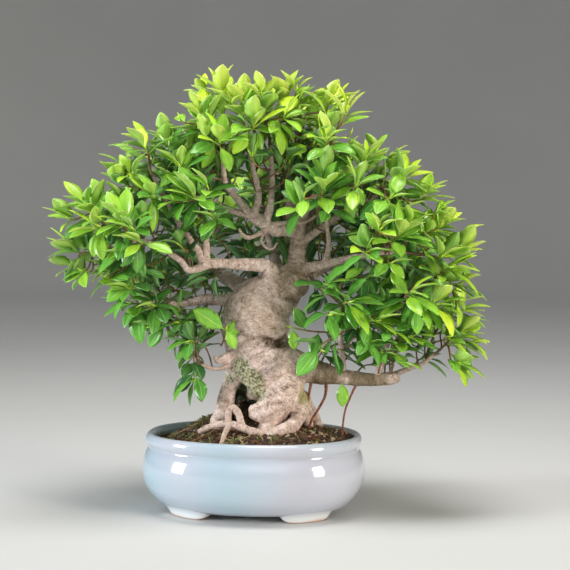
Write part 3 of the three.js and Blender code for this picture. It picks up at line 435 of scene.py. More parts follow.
def store_attribute(mesh: Mesh, name: str, values: Array) -> None:
    """Keep a number or a row of three for each vertex of a mesh, under a name that materials read.

    Args:
        mesh: the mesh.
        name: the attribute's name.
        values: one row for each vertex.
    """
    kind, key = ("FLOAT", "value") if values.ndim == 1 else ("FLOAT_VECTOR", "vector")
    layer = mesh.attributes.new(name, kind, "POINT")
    layer.data.foreach_set(key, values.astype(np.float32).ravel())


@dataclass
class MeshParts:
    """Vertices, faces and per-vertex values that are gathered and then made one mesh object."""

    vertices: list[Array] = field(default_factory=list)
    faces: list[tuple[Array, int]] = field(default_factory=list)
    values: dict[str, list[tuple[int, Array]]] = field(default_factory=dict)
    uvs: list[Array] = field(default_factory=list)
    count: int = 0

    def add(
        self, vertices: Array, faces: list[Array], slot: int = 0, uv: Array | None = None,
        **values: Array | float,
    ) -> None:
        """Add a stretch of mesh whose faces count its own vertices from 0.

        Args:
            vertices: places in millimetres, in the model's frame.
            faces: arrays of faces, each with one number of corners.
            slot: the material slot of the faces.
            uv: a place on the material's pattern for each vertex.
            values: a number or a row of three for each vertex, by the name of its attribute.
        """
        self.vertices.append(vertices)
        self.faces += [(block + self.count, slot) for block in faces]
        self.uvs.append(np.zeros((len(vertices), 2)) if uv is None else uv)
        for name, row in values.items():
            row = np.asarray(row, dtype=float)
            row = np.broadcast_to(row, (len(vertices), *row.shape[1:]))
            self.values.setdefault(name, []).append((self.count, row))
        self.count += len(vertices)

    def add_faces(self, faces: list[Array], slot: int, last: int) -> None:
        """Add more faces, in another slot, on the last vertices that were added.

        Args:
            faces: arrays of faces that count those vertices from 0.
            slot: their material slot.
            last: how many vertices there were.
        """
        self.faces += [(block + self.count - last, slot) for block in faces]

    def to_object(self, name: str, materials: list[Material], smooth: bool = True) -> Object:
        """The gathered mesh as a Blender object at the origin, in metres.

        Args:
            name: the object's name.
            materials: one for each slot.
            smooth: whether faces are shaded smooth.
        Returns:
            The new object, linked to the scene.
        """
        mesh = bpy.data.meshes.new(name)
        vertices = np.vstack(self.vertices) * MM
        corners = np.concatenate([block.ravel() for block, _ in self.faces]).astype(np.int32)
        sizes = np.concatenate([np.full(len(block), block.shape[1]) for block, _ in self.faces])
        slots = np.concatenate([np.full(len(block), slot) for block, slot in self.faces]).astype(np.int32)
        mesh.vertices.add(len(vertices))
        mesh.vertices.foreach_set("co", vertices.astype(np.float32).ravel())
        mesh.loops.add(len(corners))
        mesh.loops.foreach_set("vertex_index", corners)
        mesh.polygons.add(len(sizes))
        mesh.polygons.foreach_set("loop_start", np.concatenate([[0], np.cumsum(sizes)[:-1]]).astype(np.int32))
        mesh.polygons.foreach_set("material_index", slots)
        mesh.polygons.foreach_set("use_smooth", np.full(len(sizes), smooth))
        layer = mesh.uv_layers.new(name="pattern")
        layer.data.foreach_set("uv", np.vstack(self.uvs)[corners].astype(np.float32).ravel())
        for key, rows in self.values.items():
            numbers = np.zeros((len(vertices), *rows[0][1].shape[1:]))
            for start, row in rows:
                numbers[start : start + len(row)] = row
            store_attribute(mesh, key, numbers)
        mesh.update(calc_edges=True)
        mesh.validate()
        for material in materials:
            mesh.materials.append(material)
        return linked(name, mesh)


@dataclass(frozen=True)
class TreeFrame:
    """The tree's frame, turned about the upright line through the pot's middle."""

    middle: Pair
    turn: float = TREE_TURN

    @staticmethod
    def of_model() -> "TreeFrame":
        """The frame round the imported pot's middle."""
        low, high = in_millimetres(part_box("pot"))
        return TreeFrame(((low[0] + high[0]) / 2, (low[1] + high[1]) / 2))

    def place(self, points: Array) -> Array:
        """Points of the tree's frame as points of the model's frame.

        Args:
            points: places in millimetres, the last axis x, y and z.
        Returns:
            The same, in the model's frame.
        """
        angle = math.radians(self.turn)
        x, y = points[..., 0], points[..., 1]
        across = x * math.cos(angle) - y * math.sin(angle) + self.middle[0]
        along = x * math.sin(angle) + y * math.cos(angle) + self.middle[1]
        return np.stack([across, along, points[..., 2]], axis=-1)


# Materials

def linear(code: str) -> tuple[float, float, float, float]:
    """An sRGB hex colour as linear light: below 0.04045 divided by 12.92, above it a power of 2.4.

    Args:
        code: such as #A0B1C2.
    Returns:
        Red, green, blue, and 1 for alpha.
    """
    parts = [int(code[i : i + 2], 16) / 255.0 for i in (1, 3, 5)]
    red, green, blue = (c / 12.92 if c <= 0.04045 else ((c + 0.055) / 1.055) ** 2.4 for c in parts)
    return (red, green, blue, 1.0)


def spacing(millimetres: float) -> float:
    """The scale of a noise texture whose blotches are this far apart, on places in metres."""
    return 1.0 / (millimetres * MM)


def add_node(
    tree: NodeTree, kind: str, inputs: dict | None = None, output: int | str | None = 0,
    stops: list[tuple[float, str]] | None = None, **settings: object,
) -> NodeSocket | None:
    """Add one shader node with its settings and links.

    Args:
        tree: the material's node tree.
        kind: the node's type name, less the ShaderNode in front of it.
        inputs: by input name or number, a value to set or an output socket to link.
        output: the output that is wanted, or None for a node that has none.
        stops: rising places and hex colours of a colour ramp.
        settings: properties of the node itself.
    Returns:
        That output.
    """
    node = tree.nodes.new("ShaderNode" + kind)
    for key, value in settings.items():
        setattr(node, key, value)
    for number, (place, code) in enumerate(stops or []):
        elements = node.color_ramp.elements
        element = elements[number] if number < len(elements) else elements.new(place)
        element.position, element.color = place, linear(code)
    for key, value in (inputs or {}).items():
        if isinstance(value, NodeSocket):
            tree.links.new(value, node.inputs[key])
        else:
            node.inputs[key].default_value = value
    return None if output is None else node.outputs[output]


def broken_up(tree: NodeTree, value: NodeSocket, pattern: NodeSocket, strength: float) -> NodeSocket:
    """A value that a pattern pushes up and down, by nothing where the pattern is a half.

    Args:
        tree: the material's node tree.
        value: the value.
        pattern: numbers from 0 to 1.
        strength: how much the value changes from the pattern's one end to its other.
    Returns:
        The new value.
    """
    centred = add_node(tree, "Math", {0: pattern, 1: 0.5}, operation="SUBTRACT")
    return add_node(tree, "Math", {0: centred, 1: strength, 2: value}, operation="MULTIPLY_ADD")


def ragged_cover(tree: NodeTree, name: str, pattern: NodeSocket, raggedness: float) -> NodeSocket:
    """How far a cover hides what is under it: its attribute times the same broken up, so its edge is ragged.

    Args:
        tree: the material's node tree.
        name: the attribute.
        pattern: numbers from 0 to 1.
        raggedness: how strongly the pattern breaks up the edge.
    Returns:
        A share from 0 to 1.
    """
    amount = add_node(tree, "Attribute", output="Fac", attribute_name=name)
    ragged = broken_up(tree, amount, pattern, raggedness)
    return add_node(tree, "Math", {0: ragged, 1: amount}, operation="MULTIPLY", use_clamp=True)


@dataclass(frozen=True)
class Finish:
    """A surface finish: one Principled shader, fed by procedural patterns."""

    name: str = "plain finish"

    def shader_inputs(self, tree: NodeTree, where: NodeSocket) -> dict:
        """What feeds the shader, worked out from Object coordinates and the mesh's attributes.

        Args:
            tree: the material's node tree.
            where: Object coordinates.
        Returns:
            The Principled shader's inputs, by name.
        """
        return {}

    def material(self) -> Material:
        """The finish as a Blender material.

        Returns:
            The new material.
        """
        material = bpy.data.materials.new(self.name)
        material.use_nodes = True
        tree = material.node_tree
        tree.nodes.clear()
        where = add_node(tree, "TexCoord", output="Object")
        shader = add_node(tree, "BsdfPrincipled", self.shader_inputs(tree, where))
        add_node(tree, "OutputMaterial", {"Surface": shader}, None)
        return material


@dataclass(frozen=True)
class BanyanBark(Finish):
    """Living ficus bark: thin, pinkish grey-beige, finely wrinkled round the limb, with painted shade in its
    creases and painted highlight on its crests.

    The large wrinkles are relief in the mesh. The material adds fine ones and rows of pale lenticels, greyer
    stretches of weathering, a dry grey-green crust of lichen on the sheltered wall of the trunk, a film of
    algae and dark moss low on it. Some of the weathering and moss is painted shade: on the low right limb
    under the leaves, in the fold under the belly, in the knot's bowl, and in the hollow, which is partly
    moss. Real wrinkles and lenticels are under 1 mm wide, and are drawn at twice that.
    """

    name: str = "banyan bark"
    # Darkest tone: painted shade in creases, folds and the knot's bowl.
    shaded_crease: str = "#624C40"
    mid: str = "#B49D8E"
    pale: str = "#D6BEB2"
    # Palest tone: painted highlight on crests.
    lit_crest: str = "#F6E4DC"
    # Greyer tone, multiplied over the bark: darker, greyer weathering, and painted shade on the low right
    # limb and by the waist.
    weathering_and_shade: str = "#ADA992"
    lichen: str = "#C2BE9C"
    lichen_dark: str = "#6C6748"
    algae: str = "#93914A"
    # Dark green-black moss low on the trunk; in the hollow it is partly painted shade, and in the knot's bowl
    # and on the low right limb it is painted shade only.
    moss: str = "#232E12"
    young: str = "#957C6B"
    wrinkle_mm: float = 4.4
    wrinkle_squeeze: float = 3.0
    lenticel_mm: float = 2.0
    lenticel_squeeze: float = 1.5
    crust_mm: float = 2.4
    blotch_mm: float = 11.0
    tone_offset: float = -0.68
    ragged_edges: float = 1.2

    def shader_inputs(self, tree: NodeTree, where: NodeSocket) -> dict:
        """Tone from wrinkles, lenticels, relief and blotches, running from painted shade in creases to
        painted highlight on crests; then what covers it, by attributes, over that.

        Args:
            tree: the material's node tree.
            where: Object coordinates.
        Returns:
            The Principled shader's inputs, by name.
        """
        round_limb = add_node(tree, "Attribute", output="Vector", attribute_name="round_limb")
        squeezed = add_node(tree, "Mapping", {"Vector": round_limb, "Scale": (self.wrinkle_squeeze, 1, 1)})
        wrinkle = add_node(tree, "TexNoise", {
            "Vector": squeezed, "Scale": spacing(self.wrinkle_mm), "Detail": 4.0, "Roughness": 0.6,
            "Distortion": 0.4,
        })
        dots = add_node(tree, "Mapping", {"Vector": round_limb, "Scale": (self.lenticel_squeeze, 1, 1)})
        lenticel = add_node(tree, "TexNoise", {
            "Vector": dots, "Scale": spacing(self.lenticel_mm), "Detail": 2.0,
        })
        broad = add_node(tree, "TexNoise", {"Vector": where, "Scale": spacing(self.blotch_mm), "Detail": 4.0})
        relief = add_node(tree, "Attribute", output="Fac", attribute_name="relief")
        tone = self.tone_offset
        for part, weight in ((wrinkle, 0.7), (lenticel, 0.75), (relief, 0.5), (broad, 0.35)):
            tone = add_node(tree, "Math", {0: part, 1: weight, 2: tone}, operation="MULTIPLY_ADD")
        # The tone's low end is painted shade in creases, folds and the knot's bowl, and its high end is
        # painted highlight on crests; between them lie the bark's own mottling and lenticels.
        stops = [(0.1, self.shaded_crease), (0.34, self.mid), (0.54, self.pale), (0.84, self.lit_crest)]
        colour = add_node(tree, "ValToRGB", {"Fac": tone}, stops=stops)
        crusty = add_node(tree, "TexNoise", {"Vector": where, "Scale": spacing(self.crust_mm), "Detail": 3.0})
        crusts = [(0.4, self.lichen_dark), (0.6, self.lichen)]
        crust = add_node(tree, "ValToRGB", {"Fac": crusty}, stops=crusts)
        # The weathering and moss covers also lay painted shade where their patches say.
        for cover, tint, blend in (
            ("youth", linear(self.young), "MIX"), ("weathering_and_shade", linear(self.weathering_and_shade), "MULTIPLY"),
            ("lichen", crust, "MIX"), ("algae", linear(self.algae), "MIX"),
            ("moss", linear(self.moss), "MIX"),
        ):
            held = ragged_cover(tree, cover, broad, self.ragged_edges)
            sockets = {0: held, 6: colour, 7: tint}
            colour = add_node(tree, "Mix", sockets, 2, data_type="RGBA", blend_type=blend)
        height = add_node(tree, "Math", {0: lenticel, 1: 0.5, 2: wrinkle}, operation="MULTIPLY_ADD")
        bump = add_node(tree, "Bump", {"Height": height, "Strength": 0.6, "Distance": 0.8 * MM})
        return {"Base Color": colour, "Roughness": 0.76, "Specular IOR Level": 0.35, "Normal": bump}


@dataclass(frozen=True)
class BanyanLeaf(Finish):
    """The waxy upper side of a ficus leaf: bright yellow-green when new and deep green when old, and painted
    paler where the crown is lit and darker inside it, as painted light and shade.

    The wax gives broad soft highlights. The midrib is a fine pale line, and faint side veins slant forward.
    """

    name: str = "waxy upper side of banyan leaf"
    new: str = "#D6EE36"
    young: str = "#A9DA38"
    grown: str = "#66B03A"
    old: str = "#235F2B"
    rib: str = "#D8EC96"
    side_veins: float = 11.0
    vein_share: float = 0.06
    rib_share: float = 0.05
    edge_from: float = 0.95
    roughness: float = 0.3
    coat: float = 0.22

    def shader_inputs(self, tree: NodeTree, where: NodeSocket) -> dict:
        """Colour by age and painted light, with pale midrib, side veins and edge; the blade swells between
        its veins.

        Args:
            tree: the material's node tree.
            where: Object coordinates.
        Returns:
            The Principled shader's inputs, by name.
        """
        uv = add_node(tree, "UVMap", uv_map="pattern")
        across = add_node(tree, "SeparateXYZ", {0: uv}, "X")
        along = add_node(tree, "SeparateXYZ", {0: uv}, "Y")
        from_rib = add_node(tree, "Math", {0: across}, operation="ABSOLUTE")
        blotch = add_node(tree, "TexNoise", {"Vector": where, "Scale": spacing(9.0), "Detail": 2.0})
        age = add_node(tree, "Attribute", output="Fac", attribute_name="age")
        # Painted light and shade: the ramp's pale end also stands for the crown's lit outside, and its dark
        # end for shade inside the crown.
        stops = [(0.0, self.new), (0.25, self.young), (0.6, self.grown), (1.0, self.old)]
        colour = add_node(tree, "ValToRGB", {"Fac": broken_up(tree, age, blotch, 0.35)}, stops=stops)
        forward = add_node(tree, "Math", {0: from_rib, 1: -1.6}, operation="MULTIPLY")
        slant = add_node(tree, "Math", {0: along, 1: self.side_veins, 2: forward}, operation="MULTIPLY_ADD")
        vein = add_node(tree, "Math", {0: slant, 1: 0.5}, operation="PINGPONG")
        for place, limit, side, strength in (
            (vein, self.vein_share, "LESS_THAN", 0.1), (from_rib, self.rib_share, "LESS_THAN", 0.42),
            (from_rib, self.edge_from, "GREATER_THAN", 0.42),
        ):
            line = add_node(tree, "Math", {0: place, 1: limit}, operation=side)
            drawn = add_node(tree, "Math", {0: line, 1: strength}, operation="MULTIPLY")
            colour = add_node(tree, "Mix", {0: drawn, 6: colour, 7: linear(self.rib)}, 2, data_type="RGBA")
        swell = add_node(tree, "Math", {0: from_rib, 1: 0.6}, operation="MULTIPLY")
        height = add_node(tree, "Math", {0: vein, 1: 0.5, 2: swell}, operation="MULTIPLY_ADD")
        bump = add_node(tree, "Bump", {"Height": height, "Strength": 0.3, "Distance": 0.4 * MM})
        return {
            "Base Color": colour, "Roughness": self.roughness, "Specular IOR Level": 0.5,
            "Coat Weight": self.coat, "Coat Roughness": 0.18, "Normal": bump,
        }


@dataclass(frozen=True)
class BanyanLeafUnderside(BanyanLeaf):
    """The matt underside of the leaf: a paler, duller green than the upper side, with a raised midrib."""

    name: str = "matt underside of banyan leaf"
    new: str = "#D6E868"
    young: str = "#B2D65C"
    grown: str = "#86B858"
    old: str = "#4E8445"
    rib: str = "#DCEBAA"
    roughness: float = 0.46
    coat: float = 0.0


@dataclass(frozen=True)
class YoungShoot(Finish):
    """The thin bark of this year's shoots: grey-brown where they start, orange-brown and then green above."""

    name: str = "young shoot bark"
    base: str = "#6E5643"
    middle: str = "#94693E"
    tip: str = "#8FAA3C"

    def shader_inputs(self, tree: NodeTree, where: NodeSocket) -> dict:
        """Colour by place along the shoot, broken up by grain.

        Args:
            tree: the material's node tree.
            where: Object coordinates.
        Returns:
            The Principled shader's inputs, by name.
        """
        grain = add_node(tree, "TexNoise", {"Vector": where, "Scale": spacing(1.2), "Detail": 3.0})
        age = add_node(tree, "Attribute", output="Fac", attribute_name="age")
        stops = [(0.2, self.base), (0.65, self.middle), (1.0, self.tip)]
        colour = add_node(tree, "ValToRGB", {"Fac": broken_up(tree, age, grain, 0.4)}, stops=stops)
        bump = add_node(tree, "Bump", {"Height": grain, "Strength": 0.3, "Distance": 0.2 * MM})
        return {"Base Color": colour, "Roughness": 0.55, "Normal": bump}


@dataclass(frozen=True)
class PaleGlaze(Finish):
    """A pale blue-white stoneware glaze, glassy and softly rippled.

    It is bluer where it pooled thick, and thin and pinkish where it drew back from edges; its feet are
    painted whiter, a painted light.
    """

    name: str = "pale blue glaze on stoneware"
    thick: str = "#A7BDC8"
    body: str = "#BEC1CC"
    # Near white: painted light on the lower feet.
    footed: str = "#F2F7F8"
    thin: str = "#E8CABC"

    def shader_inputs(self, tree: NodeTree, where: NodeSocket) -> dict:
        """Colour from pooled glaze, from painted light on the feet and from the thin attribute, and a ripple
        in the reflections.

        Args:
            tree: the material's node tree.
            where: Object coordinates.
        Returns:
            The Principled shader's inputs, by name.
        """
        pool = add_node(tree, "TexNoise", {"Vector": where, "Scale": spacing(110.0), "Detail": 1.0})
        colour = add_node(tree, "ValToRGB", {"Fac": pool}, stops=[(0.36, self.thick), (0.62, self.body)])
        footed = add_node(tree, "Attribute", output="Fac", attribute_name="footed")
        colour = add_node(tree, "Mix", {0: footed, 6: colour, 7: linear(self.footed)}, 2, data_type="RGBA")
        specks = add_node(tree, "TexNoise", {"Vector": where, "Scale": spacing(3.0), "Detail": 3.0})
        held = ragged_cover(tree, "thin", specks, 0.8)
        colour = add_node(tree, "Mix", {0: held, 6: colour, 7: linear(self.thin)}, 2, data_type="RGBA")
        ripple = add_node(tree, "TexNoise", {"Vector": where, "Scale": spacing(13.0), "Detail": 1.0})
        bump = add_node(tree, "Bump", {"Height": ripple, "Strength": 0.07, "Distance": 0.6 * MM})
        return {
            "Base Color": colour, "Roughness": 0.1, "Specular IOR Level": 0.6,
            "Coat Weight": 0.8, "Coat Roughness": 0.03, "Normal": bump,
        }


@dataclass(frozen=True)
class MattGrain(Finish):
    """A matt natural surface, such as bark, dead root, moss, soil or bare clay: two tones and a grain."""

    dark: str = "#000000"
    pale: str = "#FFFFFF"
    grain_mm: float = 1.0
    bump: float = 0.6
    bump_mm: float = 0.5
    detail: float = 4.0
    dark_to: float = 0.32
    roughness: float = 0.86
    specular: float = 0.3

    def shader_inputs(self, tree: NodeTree, where: NodeSocket) -> dict:
        """Colour and height from one noise.

        Args:
            tree: the material's node tree.
            where: Object coordinates.
        Returns:
            The Principled shader's inputs, by name.
        """
        grain = add_node(tree, "TexNoise", {
            "Vector": where, "Scale": spacing(self.grain_mm), "Detail": self.detail,
        })
        stops = [(self.dark_to, self.dark), (0.68, self.pale)]
        colour = add_node(tree, "ValToRGB", {"Fac": grain}, stops=stops)
        bump = add_node(tree, "Bump", {"Height": grain, "Strength": self.bump, "Distance": self.bump_mm * MM})
        return {
            "Base Color": colour, "Roughness": self.roughness, "Specular IOR Level": self.specular,
            "Normal": bump,
        }


@dataclass(frozen=True)
class AerialRootBark(MattGrain):
    """The thin red-brown skin of aerial roots: smooth, finely mottled and a little glossy where new."""

    name: str = "aerial root skin"
    dark: str = "#5A2C1E"
    pale: str = "#A5603F"
    grain_mm: float = 2.6
    bump: float = 0.4
    bump_mm: float = 0.2
    detail: float = 3.0
    dark_to: float = 0.35
    roughness: float = 0.55
    specular: float = 0.5


BARE_STONEWARE = MattGrain("bare fired stoneware", "#B98E78", "#DDB7A2", 1.4, 0.3)  # gritty pinkish buff
POTTING_SOIL = MattGrain("moist potting soil", "#1E1710", "#5C4933", 3.2, 1.0)  # near black, brown fibre
BARK_CHIPS = MattGrain("composted bark chips", "#34261B", "#7A5C47")  # dark, matt, splintery
BARK_DUST = MattGrain("red-brown bark dust", "#3E2116", "#74452F")
ROOT_FIBRE = MattGrain("dry root fibre", "#8F7C64", "#CDB894")
PUMICE = MattGrain("pale pumice grit", "#8F8A7E", "#C9C2B4")
DRY_ROOTS = MattGrain("dry fine roots", "#937655", "#C6AA82")
LIVING_ROOTS = MattGrain("living red-brown roots", "#5E2F20", "#9C5C40")
MOSS = MattGrain("moss", "#515A2A", "#A8AE6C", 2.0)  # fine soft tufts, yellow-green at their tips
MOULDED_MESH = MattGrain("moulded black mesh", "#202224", "#3E3A34", 4.0, 0.1)  # polyethylene, dull with dust
STUDIO_PAPER = MattGrain("pale studio paper", "#D2D1CE", "#D6D5D2", 400.0, 0.0)


# Growth plan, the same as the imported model's

def point_on(points: Points, fraction: float) -> tuple[Array, Array, float]:
    """The centre, direction and radius of a limb, part of the way along its control points.

    Args:
        points: its control points (x, y, z, radius).
        fraction: which part of them has gone by.
    Returns:
        The centre, a unit direction and the radius.
    """
    place = fraction * (len(points) - 1)
    index = min(math.floor(place), len(points) - 2)
    start, end = np.array(points[index], dtype=float), np.array(points[index + 1], dtype=float)
    at = start + (end - start) * (place - index)
    return at[:3], unit((end - start)[:3]), float(at[3])


def beads_along(points: Points) -> Array:
    """Round beads (x, y, z, radius) strung along a limb, at most BEAD_STEP apart.

    Args:
        points: the limb's control points.
    Returns:
        One row for each bead.
    """
    rows = []
    for start, end in zip(np.array(points, dtype=float), np.array(points[1:], dtype=float)):
        count = math.ceil(norm((end - start)[:3]) / BEAD_STEP)
        share = np.linspace(0.0, 1.0, count + 1)[:, None]
        rows.append(start + (end - start) * share)
    return np.vstack(rows)


def clearance(beads: Array, others: Array) -> float:
    """The least distance between two sets of beads, less their radii.

    Args:
        beads: rows (x, y, z, radius).
        others: the same, or none.
    Returns:
        Infinity where there are no others.
    """
    if len(others) == 0:
        return math.inf
    apart = norm(beads[:, None, :3] - others[None, :, :3], axis=2)
    return float((apart - beads[:, None, 3] - others[None, :, 3]).min())


class Shoot:
    """A shoot along a cubic Bezier curve, thinner towards its tip."""

    def __init__(
        self, start: Array, heading: Array, tip: Array, bend: Array, base_radius: float, seed: int,
    ) -> None:
        """Work out the curve's nodes.

        Args:
            start: where it leaves the limb.
            heading: unit direction there.
            tip: where it ends.
            bend: how far its two middle nodes are moved.
            base_radius: radius at its start.
            seed: its number, for draws and for telling its leaves from others.
        """
        chord = tip - start
        self.length = float(norm(chord))
        outward = unit(unit(tip - CROWN_HEART) + 0.5 * UP)
        reach = 0.35 * self.length
        self.nodes = np.array([start, start + heading * reach + bend, tip - outward * reach + bend, tip])
        self.heading = heading
        self.base_radius = base_radius
        self.seed = seed
        self.phase = 0.0
        level = RIGHT if abs(chord[2]) > 0.8 * self.length else UP
        self.side = unit(np.cross(chord, level))
        self.leaves: list[Leaf] = []

    def centre(self, f: float | Array) -> Array:
        """Points of the curve: the four nodes weighed by (1-f)^3, 3f(1-f)^2, 3f^2(1-f) and f^3.

        Args:
            f: shares of the length.
        Returns:
            A point for each.
        """
        f = np.asarray(f, dtype=float)[..., None]
        g = 1 - f
        first, second, third, last = self.nodes
        return g**3 * first + 3 * g * g * f * second + 3 * g * f * f * third + f**3 * last

    def tangent(self, f: float | Array) -> Array:
        """Unit directions along the curve, from the slope of its weights.

        Args:
            f: shares of the length.
        Returns:
            A direction for each.
        """
        f = np.asarray(f, dtype=float)[..., None]
        g = 1 - f
        first, second, third, last = self.nodes
        slope = -g * g * first + (g * g - 2 * g * f) * second + (2 * g * f - f * f) * third + f * f * last
        return unit(slope)

    def radius(self, f: float | Array) -> Array:
        """Radius at a share of the length."""
        return self.base_radius + (SHOOT_TIP_RADIUS - self.base_radius) * np.asarray(f, dtype=float)

    def outward(self, f: float, angle: float) -> Array:
        """The direction that leaves the shoot at an angle round it, square to it.

        Args:
            f: share of the length.
            angle: how far round it, in radians.
        Returns:
            A unit direction.
        """
        tangent = self.tangent(f)
        across = unit(off_axis(self.side, tangent))
        return across * math.cos(angle) + np.cross(tangent, across) * math.sin(angle)

    def beads(self, start: float) -> Array:
        """Beads from a share of the length to the tip."""
        f = start + (1 - start) * np.arange(SHOOT_BEADS + 1) / SHOOT_BEADS
        return np.column_stack([self.centre(f), self.radius(f)])


class Leaf:
    """A leaf whose midrib leaves its shoot along direction and curves away from its upper side."""

    def __init__(
        self, shoot: Shoot, fraction: float, angle: float, direction: Array, picks: list[float], size: float,
    ) -> None:
        """Work out the leaf's place and size.

        Args:
            shoot: what it grows from.
            fraction: where along the shoot, 1 for the leaf that ends it.
            angle: which way round the shoot its base sits, in radians.
            direction: unit direction of its midrib.
            picks: draws for its length, slenderness and droop.
            size: share of the full length.
        """
        self.fraction = fraction
        self.base = shoot.centre(fraction)
        if fraction < 1:
            self.base = self.base + shoot.outward(fraction, angle) * shoot.radius(fraction)
        self.direction = direction
        self.length = size * between(LEAF_LENGTH, picks[0])
        self.half_width = self.length * between(LEAF_SLENDERNESS, picks[1])
        self.droop = between(LEAF_DROOP, picks[2])
        facing = off_axis(shoot.tangent(fraction), direction) + 1.3 * off_axis(UP, direction)
        if norm(facing) < 0.2:
            facing = off_axis(shoot.side, direction)
        self.normal = unit(facing)
        self.across = np.cross(self.normal, direction)
        self.age = self.wave = 0.5

    def beads(self) -> Array:
        """A grid of places over the blade, used to keep leaves apart.

        Returns:
            Places, one row each, in rows across the blade.
        """
        rows = np.array(LEAF_ROWS)
        along = np.repeat(rows[:, 0], LEAF_ROW_LENGTH)
        side = (rows[:, 1:2] * np.array([-1, -0.5, 0, 0.5, 1])).ravel() * self.half_width
        over = -self.droop * self.length * along**2 + np.abs(side) * LEAF_FOLD
        middle = self.base + np.outer(along * self.length, self.direction)
        return middle + np.outer(over, self.normal) + np.outer(side, self.across)


class Clearance(Enum):
    """Least gaps between a new leaf and others' leaves, its own shoot's past their first row, and wood."""

    AS_PACKED = (4.3, 3.2, 2.0)
    BETWEEN_THEM = (2.3, 1.5, 1.0)
    ON_INNER_TWIGS = (1.7, 1.5, 1.0)


class LeafRoom:
    """The leaves placed so far, and the rule that keeps a new one clear of them and of the wood."""

    def __init__(self) -> None:
        """Start with no leaves."""
        self.beads = np.zeros((0, len(LEAF_ROWS) * LEAF_ROW_LENGTH, 3))
        self.owners = np.zeros(0, dtype=int)

    def fits(self, beads: Array, owner: int, obstacles: Array, clearance: Clearance) -> bool:
        """Whether a leaf's beads stay clear.

        Args:
            beads: the leaf's beads.
            owner: its shoot's number.
            obstacles: beads of wood and shoots.
            clearance: how clear of them.
        Returns:
            True where it is clear of all.
        """
        apart, own, wood = clearance.value
        middle = beads[len(beads) // 2]
        near = obstacles[norm(obstacles[:, :3] - middle, axis=1) < LEAF_REACH + obstacles[:, 3]]
        if len(near):
            gaps = norm(beads[:, None] - near[None, :, :3], axis=2) - near[:, 3]
            if gaps.min() < wood:
                return False
        close = norm(self.beads[:, len(beads) // 2] - middle, axis=1) <= 2 * LEAF_REACH
        mine = self.owners == owner
        for others, least, skip in ((~mine, apart, 0), (mine, own, LEAF_ROW_LENGTH)):
            rows = self.beads[close & others][:, skip:].reshape(-1, 3)
            if len(rows) and norm(beads[skip:, None] - rows[None], axis=2).min() < least:
                return False
        return True

    def keep(self, beads: Array, owner: int) -> None:
        """Add a leaf that was placed."""
        self.beads = np.concatenate([self.beads, beads[None]])
        self.owners = np.append(self.owners, owner)


